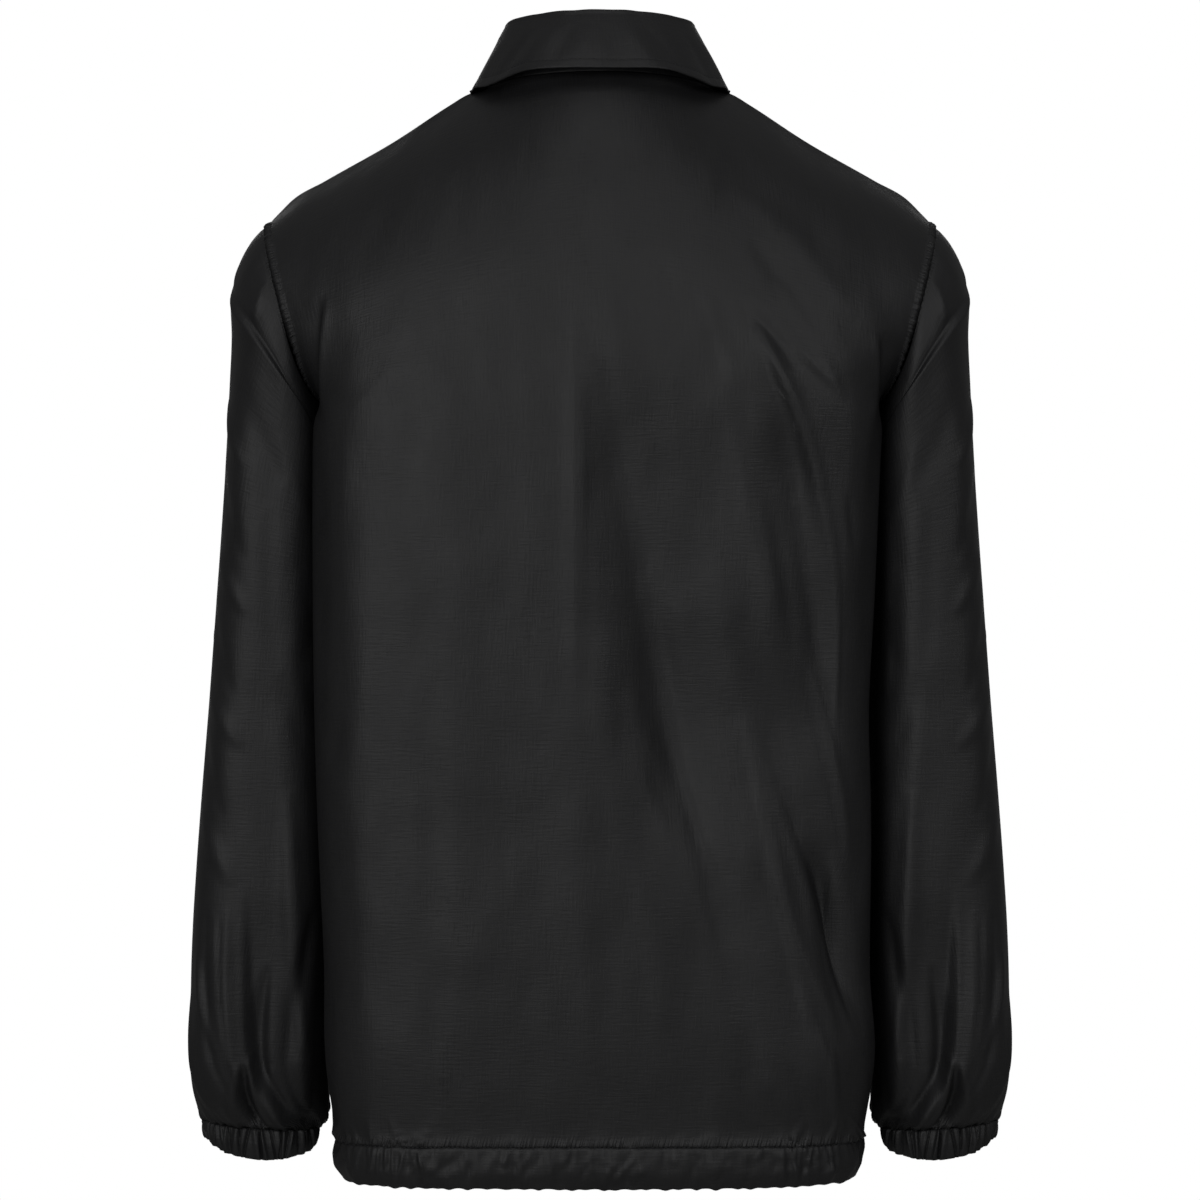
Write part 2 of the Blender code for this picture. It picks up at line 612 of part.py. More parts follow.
def neck_seam():
    """The neck seam through the panels' own points, right front to left front, and its turns."""
    fractions = np.linspace(0.0, NECK_STEPS / HALF_STEPS, NECK_STEPS + 1)
    back, front = top_row("back", fractions), top_row("front", fractions)
    half = np.concatenate([back, front[-2::-1]])
    turn = np.arcsin(np.clip(half[:, 0] / NECK_HALF_WIDTH, 0.0, 1.0))
    turn[NECK_STEPS:] = math.pi - turn[NECK_STEPS:]
    seam = np.concatenate([half[::-1] * np.array([-1.0, 1.0, 1.0]), half[1:]])
    return seam, np.concatenate([-turn[::-1], turn[1:]])


def fold_line(turn):
    """Where the collar folds over, at each turn from the centre back, with its ways out and up."""
    back = np.cos(turn) > 0.0
    lean = np.abs(np.cos(turn))
    half_depth = np.where(back, COLLAR_BACK_DEPTH, COLLAR_FRONT_DEPTH)
    x = COLLAR_HALF_WIDTH * np.sin(turn)
    y = half_depth * np.cos(turn)
    z = COLLAR_LEVEL + np.where(back, COLLAR_BACK_RISE * lean**1.5, -COLLAR_FRONT_DROP * lean**1.8)
    line = np.stack([x, y, z], axis=1)
    out = np.stack([x / COLLAR_HALF_WIDTH**2, y / half_depth**2, np.zeros_like(turn)], axis=1)
    out /= np.linalg.norm(out, axis=1, keepdims=True)
    up = np.cross(out, np.gradient(line, axis=0))
    up *= np.sign(up[:, 2:])
    return line, out, up / np.linalg.norm(up, axis=1, keepdims=True)


def kept_clear(points, surface, normals, distance):
    """Points moved out of a surface where they lie nearer to it than a distance."""
    surface = surface.reshape(-1, 3)
    normals = normals.reshape(-1, 3)
    moved = points.reshape(-1, 3).copy()
    for index, point in enumerate(moved):
        nearest = np.argmin(np.sum((surface - point) ** 2, axis=1))
        height = np.dot(point - surface[nearest], normals[nearest])
        if height < distance:
            moved[index] = point + (distance - height) * normals[nearest]
    return moved.reshape(points.shape)


def collar(back, front):
    """A stand that rises from the neck seam, and a leaf that folds over it and spreads to two points."""
    seam, turn = neck_seam()
    seam[:, 2] += SEAM_GAP / 2
    fold, out = fold_line(turn)[:2]
    stand = np.array([seam + share * (fold - seam) for share in (0.0, 0.5, 1.0)])
    front_gap = {"first": 2 * SEAM_GAP, "last": 2 * SEAM_GAP}
    stand, inner = drawn_in(stand, **front_gap), drawn_in(stand - WALL * out, **front_gap)
    panel_object("collar_stand", stand, inner, FABRIC_LOOK)
    turn = np.radians(np.linspace(-COLLAR_OPENING_TURN, COLLAR_OPENING_TURN, LEAF_STEPS + 1))
    fold, out, up = fold_line(turn)
    size = np.degrees(np.abs(turn))
    edge = np.stack([smooth_read(LEAF_EDGE, "turn", name, size) for name in "xyz"], axis=1)
    edge[:, 0] *= np.sign(turn)
    roll = [fold + out * reach + up * rise for reach, rise in zip(*LEAF_ROLL.values())]
    hang = [roll[-1] + share * (edge - roll[-1]) + out * LEAF_BULGE * math.sin(math.pi * share)
            for share in LEAF_HANG]
    surface = np.concatenate([back[0].reshape(-1, 3), front[0].reshape(-1, 3)])
    normals = np.concatenate([back[1].reshape(-1, 3), front[1].reshape(-1, 3)])
    leaf = np.array(roll + hang)
    leaf[len(roll):] = kept_clear(leaf[len(roll):], surface, normals, LEAF_CLEARANCE)
    leaf_normals = outward(grid_normals(leaf, False), leaf, np.array([0.0, 0.0, -0.02]))
    panel_object("collar_leaf", leaf, leaf - WALL * leaf_normals, FABRIC_LOOK)


def placket_and_snaps(front):
    """The strip down the centre front, made from the fronts' own points moved out, and its snaps."""
    grid, normals = front
    across = np.linspace(-PLACKET_HALF_WIDTH, PLACKET_HALF_WIDTH, PLACKET_STEPS + 1)
    rows = []
    for points in grid:
        order = np.argsort(points[:, 0])
        rows.append(np.stack([np.interp(across, points[order, 0], points[order, axis])
                              for axis in range(3)], axis=1))
    for level in (HEM_MIDDLE, HEM_BOTTOM):
        row = rows[-1].copy()
        row[:, 2] = level
        rows.append(row)
    strip = np.array(rows)
    strip_normals = outward(grid_normals(strip, False), strip, np.array([0.0, 0.0, -0.4]))
    strip = drawn_in(strip, top=PLACKET_TOP_GAP)
    inner = strip + SEAM_GAP * strip_normals
    outer = inner + WALL * strip_normals
    panel_object("placket", outer, inner, FABRIC_LOOK)
    middle = outer[:, 1:3].mean(axis=1)
    facing = strip_normals[:, 1:3].mean(axis=1)
    order = np.argsort(middle[:, 2])
    for number, level in enumerate(SNAP_LEVELS, start=1):
        seat = np.array([np.interp(level, middle[order, 2], middle[order, axis]) for axis in range(3)])
        axis = np.array([0.0, *(np.interp(level, middle[order, 2], facing[order, i]) for i in (1, 2))])
        snap("snap_" + str(number), seat, axis / np.linalg.norm(axis))


def snap(name, seat, axis):
    """A plain domed snap cap, turned about its axis and seated on the placket."""
    side_way = np.array([1.0, 0.0, 0.0])
    up_way = np.cross(axis, side_way)
    base = seat + SNAP_SEAT_GAP * axis
    points, faces = [], []
    for radius, height in SNAP_PROFILE:
        for side in range(SNAP_SIDES):
            angle = 2 * math.pi * side / SNAP_SIDES
            spoke = math.cos(angle) * side_way + math.sin(angle) * up_way
            points.append(base + radius * spoke + height * axis)
    for ring in range(len(SNAP_PROFILE) - 1):
        for side in range(SNAP_SIDES):
            a = ring * SNAP_SIDES + side
            b = ring * SNAP_SIDES + (side + 1) % SNAP_SIDES
            faces.append((a, b, b + SNAP_SIDES, a + SNAP_SIDES))
    faces.append(tuple(range(SNAP_SIDES))[::-1])
    top = (len(SNAP_PROFILE) - 1) * SNAP_SIDES
    faces.append(tuple(range(top, top + SNAP_SIDES)))
    solid_object(name, points, faces, SNAP_LOOK)


def main():
    for left_over in list(bpy.data.objects):
        bpy.data.objects.remove(left_over)
    back, front = body_and_sleeves()
    cuffs()
    hem()
    collar(back, front)
    placket_and_snaps(front)


main()
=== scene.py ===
"""Looks of a filled-out windbreaker: black nylon taffeta with its folds, gathers, sewing and snaps.

Metres, +Z up. The back faces +Y and the wearer's left is +X. Every cloth piece is a thin shell on the
form of its solid, with the creases laid on it from the tables below.
"""

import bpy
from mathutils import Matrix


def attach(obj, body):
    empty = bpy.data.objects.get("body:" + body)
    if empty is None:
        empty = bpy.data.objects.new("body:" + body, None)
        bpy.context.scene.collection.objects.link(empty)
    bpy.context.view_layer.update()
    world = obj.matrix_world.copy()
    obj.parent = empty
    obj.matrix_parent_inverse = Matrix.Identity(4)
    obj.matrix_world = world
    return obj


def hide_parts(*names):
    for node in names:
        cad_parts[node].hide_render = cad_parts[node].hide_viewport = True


bl_info = {
    "name": "Windbreaker looks",
    "version": (1, 0, 0),
    "blender": (4, 5, 0),
    "location": "View3D > Sidebar > Windbreaker",
    "description": "Builds the cloth, sewing and snaps of a windbreaker around its packed solids",
    "category": "Object",
}

import functools
import math

import bpy
import numpy as np
from mathutils import Vector
from mathutils.kdtree import KDTree

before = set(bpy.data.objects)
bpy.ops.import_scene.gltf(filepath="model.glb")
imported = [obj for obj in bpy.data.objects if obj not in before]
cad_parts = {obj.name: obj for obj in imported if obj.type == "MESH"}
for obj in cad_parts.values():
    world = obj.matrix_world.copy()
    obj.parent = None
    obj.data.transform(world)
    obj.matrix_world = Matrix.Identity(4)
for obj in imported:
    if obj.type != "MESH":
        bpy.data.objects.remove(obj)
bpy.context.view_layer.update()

BODY = "root"

# Driving sizes of the cut, as in the solids
SEAM_GAP = 0.00034
HEM_LEVEL = -0.7170
HEM_BOTTOM = -0.7455
HEM_SIDE_LIFT = 0.0040
UNDERARM_LEVEL = -0.2280
NECK_HALF_WIDTH = 0.0780
SHOULDER_REACH = 0.2305
SHOULDER_LEVEL = -0.0950
ARMHOLE_HALF_DEPTH = 0.0860
ARMHOLE_LEAN = 0.0360
ARMHOLE_TUCK = 0.0180
ARM_HOLLOW_SPREAD = 0.0540
SIDE_RIDGE_SHARE = 0.38
SIDE_RIDGE_DEPTH = 0.0720
SIDE_RIDGE_SPREAD = 0.0170
HOLLOW_REACH = 0.1200
SHOULDER_FADE = 0.62
NECK_SHARE = 0.375
CUFF_TOP = -0.7125
CUFF_SLANT = 0.0030
CUFF_HEIGHT = 0.0130
CUFF_DROP = 0.0080
COLLAR_HALF_WIDTH = 0.0620
COLLAR_BACK_DEPTH = 0.0470
COLLAR_FRONT_DEPTH = 0.0680
COLLAR_LEVEL = 0.0425
COLLAR_BACK_RISE = 0.0040
COLLAR_FRONT_DROP = 0.0825
COLLAR_OPENING_TURN = 177.0
PLACKET_HALF_WIDTH = 0.0180
PLACKET_FLAT = 0.0220
PLACKET_BLEND = 0.0300
SNAP_LEVELS = (-0.112, -0.254, -0.396, -0.538, -0.680)

BODY_MIDDLE = np.array([0.0, 0.0, -0.4])

# How much squarer than its solid the cloth hangs. Each side of the back has it above and below the
# stations where it changes. The sleeve's inner side has a share of it, all of it from the last ring on.
BACK_FLATNESS = {"left": (2.4, 2.4), "right": (2.6, 1.4)}
BACK_FLAT_BEGINS = (0.25, 1.0)
BACK_FLAT_CHANGES = (1.05, 1.45)
SLEEVE_FLATNESS = 1.8
SLEEVE_INNER_SHARE = 0.25
SLEEVE_INNER_RINGS = (7.5, 11.5)

# How relief fades: at the ends of creases and facets as shares of their length, on a crease's fast
# side, and beside the edges of a panel as the distance to full height
CREASE_END = 0.25
CREASE_FAST_SIDE = 0.3
FACET_UPPER_END = 0.30
FACET_LOWER_END = 0.45
FOLDS_FROM_SIDE = 0.022
FOLDS_FROM_HEM = 0.018
FOLDS_FROM_TOP = 0.050
GATHERS_FROM_SIDE = 0.006
CREASES_FROM_SIDE = 0.008
FACETS_FROM_SIDE = 0.036
FOLDS_FROM_ARMHOLE = 0.014
FOLDS_FROM_CUFF = 0.004

# Columns and rows of the fine grids. Each shell's inner face has half as many each way.
NECK_COLUMNS = 24
SHOULDER_COLUMNS = 88
ARMHOLE_ROWS = 190
BODY_ROWS = 150
SLEEVE_ROWS = 300
SLEEVE_COLUMNS = 190
HEM_COLUMNS = 480
CUFF_COLUMNS = 420
COLLAR_COLUMNS = 260
PLACKET_ROWS = 300

# Sewing: how far an inner face runs on past its seam, so that no light shows through, how far a seam
# draws the cloth in, and where the topstitching runs beside it
SEAM_LAP = 0.0012
SEAM_DEPTH = 0.0008
SEAM_SPREAD = 0.0022
ARMHOLE_STITCH = 0.0055
COLLAR_STITCH = 0.0068
PLACKET_STITCH = 0.0040

# Fine puckers: how far they reach from the hem's seam, the cuff's, the sleeve's side of the armhole and
# the middle of the band between the armhole and its topstitching
HEM_PUCKERS = 0.0046
CUFF_PUCKERS = 0.0060
ARMHOLE_PUCKERS = 0.0016
BAND_PUCKERS = 0.0032
BAND_MIDDLE = 0.0026


def table(names, *rows):
    """A table of sections or folds: each named column becomes an array."""
    return {name: np.array(column) for name, column in zip(names.split(), zip(*rows))}


# One row per section of the body. A station runs 0 to 1 along the armhole and 1 to 2 down to the hem.
# Depths are from the plane of the side seams to the centre back and the centre front.
TORSO = table(
    "station back_level back_depth front_level front_depth squareness hollow left right",
    (0.000, 0.0062, 0.0620, -0.072, 0.0780, 2.3, 0.0000, 0.1930, 0.1930),
    (0.083, -0.010, 0.0780, -0.080, 0.0855, 2.3, 0.0000, 0.1930, 0.1930),
    (0.167, -0.027, 0.0910, -0.090, 0.0925, 2.4, 0.0000, 0.1930, 0.1930),
    (0.250, -0.046, 0.1015, -0.101, 0.0990, 2.5, 0.0000, 0.1930, 0.1930),
    (0.333, -0.067, 0.1090, -0.112, 0.1045, 2.6, 0.0000, 0.1930, 0.1930),
    (0.500, -0.110, 0.1185, -0.138, 0.1130, 2.8, 0.0000, 0.1930, 0.1930),
    (0.667, -0.150, 0.1240, -0.167, 0.1190, 3.1, 0.0025, 0.1930, 0.1920),
    (0.833, -0.190, 0.1275, -0.198, 0.1230, 3.5, 0.0080, 0.1920, 0.1910),
    (0.917, -0.209, 0.1285, -0.213, 0.1245, 3.7, 0.0130, 0.1920, 0.1905),
    (1.000, -0.228, 0.1290, -0.228, 0.1255, 3.8, 0.0150, 0.1915, 0.1900),
    (1.150, -0.301, 0.1285, -0.301, 0.1265, 3.8, 0.0200, 0.1905, 0.1880),
    (1.360, -0.404, 0.1260, -0.404, 0.1270, 3.6, 0.0180, 0.1905, 0.1884),
    (1.560, -0.502, 0.1225, -0.502, 0.1255, 3.4, 0.0100, 0.1900, 0.1906),
    (1.760, -0.600, 0.1190, -0.600, 0.1220, 3.2, 0.0056, 0.1870, 0.1904),
    (1.900, -0.668, 0.1150, -0.668, 0.1180, 3.0, 0.0030, 0.1865, 0.1884),
    (2.000, -0.717, 0.1090, -0.717, 0.1120, 2.9, 0.0000, 0.1795, 0.1795),
)

# The shoulder seam, from the collar to the armhole, as reach from the middle and level
SHOULDER = table(
    "reach level",
    (0.0780, 0.0000),
    (0.0920, -0.0028),
    (0.1035, -0.0097),
    (0.1414, -0.0345),
    (0.1898, -0.0621),
    (0.2132, -0.0759),
    (0.2305, -0.0950),
)

# One row per ring of the left sleeve: its outermost and innermost points and its half depth
SLEEVE = table(
    "ring out_x out_z in_x in_z half_depth",
    (0.0, 0.2305, -0.0950, 0.1765, -0.2280, 0.0860),
    (1.0, 0.2400, -0.1070, 0.1786, -0.2315, 0.0870),
    (2.0, 0.2480, -0.1240, 0.1804, -0.2360, 0.0875),
    (3.0, 0.2517, -0.1450, 0.1816, -0.2430, 0.0870),
    (4.0, 0.2514, -0.1720, 0.1824, -0.2520, 0.0855),
    (5.0, 0.2530, -0.2050, 0.1828, -0.2640, 0.0830),
    (6.0, 0.2550, -0.2450, 0.1830, -0.2830, 0.0800),
    (7.0, 0.2585, -0.3000, 0.1834, -0.3180, 0.0765),
    (8.0, 0.2630, -0.3600, 0.1840, -0.3660, 0.0725),
    (9.0, 0.2675, -0.4200, 0.1842, -0.4210, 0.0690),
    (10.0, 0.2725, -0.4800, 0.1852, -0.4800, 0.0655),
    (11.0, 0.2770, -0.5400, 0.1858, -0.5400, 0.0630),
    (12.0, 0.2800, -0.5950, 0.1860, -0.5950, 0.0615),
    (13.0, 0.2815, -0.6350, 0.1866, -0.6350, 0.0605),
    (14.0, 0.2818, -0.6650, 0.1872, -0.6680, 0.0580),
    (15.0, 0.2803, -0.6840, 0.1872, -0.6890, 0.0530),
    (16.0, 0.2770, -0.6985, 0.1876, -0.7045, 0.0470),
    (17.0, 0.2730, -0.7095, 0.1945, -0.7155, 0.0400),
)

# Lower edge of the collar leaf by turn from the centre back, 0, to the centre front, 180 degrees
LEAF_EDGE = table(
    "turn x y z",
    (0.0, 0.0000, 0.0830, 0.0068),
    (30.0, 0.0460, 0.0740, 0.0064),
    (60.0, 0.0760, 0.0450, -0.0012),
    (90.0, 0.0885, 0.0050, -0.0010),
    (115.0, 0.0870, -0.0300, -0.0130),
    (140.0, 0.0780, -0.0620, -0.0420),
    (160.0, 0.0670, -0.0850, -0.0700),
    (180.0, 0.0520, -0.1000, -0.0980),
)

# Folds of the back, as seen in X and Z: ends, bow to one side, half width, height (a trough is below
# zero) and skew, which makes the side towards the wearer's right broader.
BACK_FOLDS = table(
    "x0 z0 x1 z1 bow width height skew",
    # Long broad swells of the whole panel
    (0.1250, -0.200, 0.1350, -0.680, 0.004, 0.026, -0.0008, 0.0),
    (0.0450, -0.330, 0.0400, -0.700, 0.000, 0.022, -0.0010, 0.0),
    (0.0160, -0.420, 0.0100, -0.700, 0.003, 0.013, 0.0012, 0.0),
    (0.1130, -0.420, 0.1100, -0.700, 0.002, 0.010, -0.0009, 0.0),
    (0.0680, -0.240, 0.0660, -0.560, 0.004, 0.014, -0.0008, 0.0),
    (0.1600, -0.300, 0.1560, -0.640, 0.000, 0.014, 0.0008, 0.0),
    # The wedge at the centre and what fans out below it
    (0.0160, -0.150, 0.0160, -0.420, 0.000, 0.0045, 0.0014, 0.0),
    (-0.0100, -0.210, -0.0800, -0.560, 0.010, 0.010, 0.0010, 0.3),
    (-0.0800, -0.210, -0.1260, -0.390, 0.002, 0.0070, 0.0012, 0.0),
    (0.0020, -0.400, -0.0530, -0.600, 0.004, 0.010, -0.0016, 0.2),
    (0.0120, -0.373, -0.0450, -0.640, 0.006, 0.011, 0.0016, 0.0),
    (-0.0220, -0.400, -0.1090, -0.655, 0.008, 0.010, -0.0018, 0.2),
    (-0.0120, -0.440, -0.0950, -0.668, 0.006, 0.009, 0.0016, 0.0),
    (-0.0560, -0.500, -0.1180, -0.680, 0.006, 0.008, 0.0013, 0.0),
    # From the shoulder blade towards the right side
    (-0.0400, -0.120, -0.0640, -0.200, 0.000, 0.010, -0.0010, 0.0),
    (-0.0640, -0.110, -0.1520, -0.280, 0.006, 0.012, 0.0018, 0.0),
    (-0.0880, -0.075, -0.1700, -0.165, 0.004, 0.010, 0.0016, 0.0),
    (-0.0980, -0.108, -0.1560, -0.205, 0.004, 0.008, -0.0015, 0.0),
    (-0.1170, -0.138, -0.1620, -0.220, 0.003, 0.006, 0.0014, 0.0),
    (-0.0940, -0.150, -0.1300, -0.200, 0.003, 0.005, -0.0018, 0.0),
    (-0.1010, -0.170, -0.1500, -0.280, 0.005, 0.006, 0.0022, 0.2),
    (-0.1060, -0.185, -0.1430, -0.310, 0.004, 0.007, -0.0022, 0.0),
    (-0.0880, -0.200, -0.1320, -0.390, 0.004, 0.008, -0.0018, 0.0),
    (-0.0940, -0.280, -0.1200, -0.400, 0.003, 0.007, 0.0013, 0.0),
    (-0.1300, -0.270, -0.1620, -0.400, 0.004, 0.010, -0.0014, 0.0),
    (-0.0700, -0.300, -0.0900, -0.430, 0.003, 0.010, 0.0012, 0.0),
    # The double crease down to the right of the hem
    (-0.1060, -0.450, -0.1750, -0.660, 0.006, 0.0055, 0.0020, 0.0),
    (-0.1180, -0.470, -0.1740, -0.635, 0.005, 0.0050, -0.0020, 0.0),
    (-0.0900, -0.500, -0.1620, -0.690, 0.006, 0.0060, 0.0012, 0.0),
    # The rim of the facet under the shoulder blade
    (-0.1062, -0.170, -0.1660, -0.440, 0.018, 0.0036, 0.0024, 0.0),
    # The dark hollow at the right side
    (-0.1380, -0.400, -0.1680, -0.520, 0.003, 0.0045, -0.0018, 0.0),
    (-0.1450, -0.400, -0.1740, -0.535, 0.003, 0.0060, 0.0016, 0.0),
    (-0.1360, -0.515, -0.1800, -0.640, 0.006, 0.0080, -0.0034, 0.4),
    (-0.1600, -0.520, -0.1810, -0.610, 0.002, 0.0070, 0.0020, 0.0),
    # Short loops above the hem's gathers
    (-0.1450, -0.640, -0.1580, -0.708, 0.004, 0.0032, 0.0018, 0.0),
    (-0.1560, -0.650, -0.1640, -0.708, -0.003, 0.0030, 0.0016, 0.0),
    (-0.1510, -0.655, -0.1600, -0.705, 0.002, 0.0032, -0.0014, 0.0),
    (-0.1080, -0.665, -0.1300, -0.708, 0.002, 0.0040, 0.0012, 0.0),
    (-0.1250, -0.660, -0.1400, -0.708, 0.002, 0.0035, -0.0012, 0.0),
    # Small ones near the left side
    (0.1720, -0.430, 0.1800, -0.465, 0.000, 0.0045, -0.0012, 0.0),
    (-0.1680, -0.280, -0.1760, -0.320, 0.000, 0.0035, -0.0016, 0.0),
)

# Folds of the front, which the photo does not show, in the same terms
FRONT_FOLDS = table(
    "x0 z0 x1 z1 bow width height skew",
    (0.1300, -0.170, 0.0700, -0.440, 0.006, 0.016, 0.0034, 0.2),
    (0.1480, -0.200, 0.0980, -0.420, 0.005, 0.010, -0.0026, 0.0),
    (-0.1250, -0.190, -0.0750, -0.470, -0.006, 0.016, 0.0034, -0.2),
    (-0.1500, -0.190, -0.1060, -0.400, -0.004, 0.010, -0.0024, 0.0),
    (0.1500, -0.300, 0.0950, -0.580, 0.006, 0.014, -0.0036, 0.0),
    (-0.1480, -0.280, -0.1000, -0.610, -0.005, 0.014, -0.0036, 0.0),
    (0.1200, -0.430, 0.0900, -0.700, 0.004, 0.018, 0.0034, 0.0),
    (-0.0600, -0.400, -0.0650, -0.700, 0.003, 0.018, 0.0028, 0.0),
    (0.1620, -0.380, 0.1300, -0.660, 0.005, 0.007, 0.0024, 0.2),
    (0.1700, -0.420, 0.1420, -0.670, 0.004, 0.006, -0.0024, 0.0),
    (-0.1620, -0.400, -0.1350, -0.650, -0.005, 0.007, 0.0022, 0.0),
    (-0.1420, -0.480, -0.1080, -0.690, -0.004, 0.007, 0.0018, 0.0),
    (0.0880, -0.130, 0.1500, -0.230, 0.004, 0.009, 0.0016, 0.0),
    (-0.0900, -0.140, -0.1480, -0.250, 0.004, 0.009, 0.0015, 0.0),
    (0.0520, -0.240, 0.0560, -0.520, 0.003, 0.010, -0.0014, 0.0),
    (-0.0480, -0.200, -0.0520, -0.430, 0.003, 0.010, -0.0013, 0.0),
    (0.0640, -0.560, 0.0740, -0.705, 0.002, 0.007, 0.0012, 0.0),
    (-0.0900, -0.580, -0.1000, -0.705, 0.002, 0.007, -0.0012, 0.0),
)

# Where the back lies over itself, as steps: above zero it stands out on the wearer's right. The step
# slopes away broadly to the wearer's right, or where its reach is below zero to the left.
BACK_CREASES = table(
    "x0 z0 x1 z1 bow sharp reach height",
    (0.1835, -0.146, 0.1868, -0.236, -0.003, 0.0020, -0.016, 0.0034),
    (-0.1860, -0.170, -0.1862, -0.240, 0.002, 0.0022, 0.016, -0.0024),
    # The upright line of the wedge at the centre
    (0.0134, -0.170, 0.0120, -0.430, 0.001, 0.0036, 0.024, -0.0015),
    # The lines above the facet under the right shoulder blade
    (-0.0880, -0.148, -0.1640, -0.220, 0.001, 0.0030, -0.016, 0.0014),
    (-0.0640, -0.140, -0.0900, -0.220, 0.001, 0.0030, -0.018, 0.0010),
    # The double crease down to the right of the hem
    (-0.0870, -0.380, -0.1500, -0.685, -0.002, 0.0044, -0.022, 0.0034),
    (-0.1060, -0.510, -0.1660, -0.660, -0.003, 0.0044, -0.018, 0.0034),
    (-0.0300, -0.430, -0.0780, -0.620, 0.003, 0.0034, -0.020, 0.0010),
)

# Facets of the back, where the cloth falls away towards the wearer's right: X of its near and far line
# at the upper and the lower level, its slope, and how far past the far line the cloth takes to return
BACK_FACETS = table(
    "z0 near0 far0 z1 near1 far1 slope back",
    # The wedge at the centre, and the strips that fan out below it
    (-0.150, 0.0134, 0.0130, -0.560, -0.0180, -0.0640, 0.56, 0.120),
    (-0.330, -0.0160, -0.0180, -0.690, -0.0760, -0.1040, 0.30, 0.080),
    # Under the right shoulder blade
    (-0.185, -0.1030, -0.1040, -0.480, -0.1380, -0.1680, 0.40, 0.016),
    # From the double crease to the right side, and the dark hollow in it
    (-0.350, -0.0860, -0.0880, -0.680, -0.1440, -0.1700, 0.30, 0.050),
    (-0.495, -0.1380, -0.1400, -0.660, -0.1620, -0.1760, 0.75, 0.012),
)

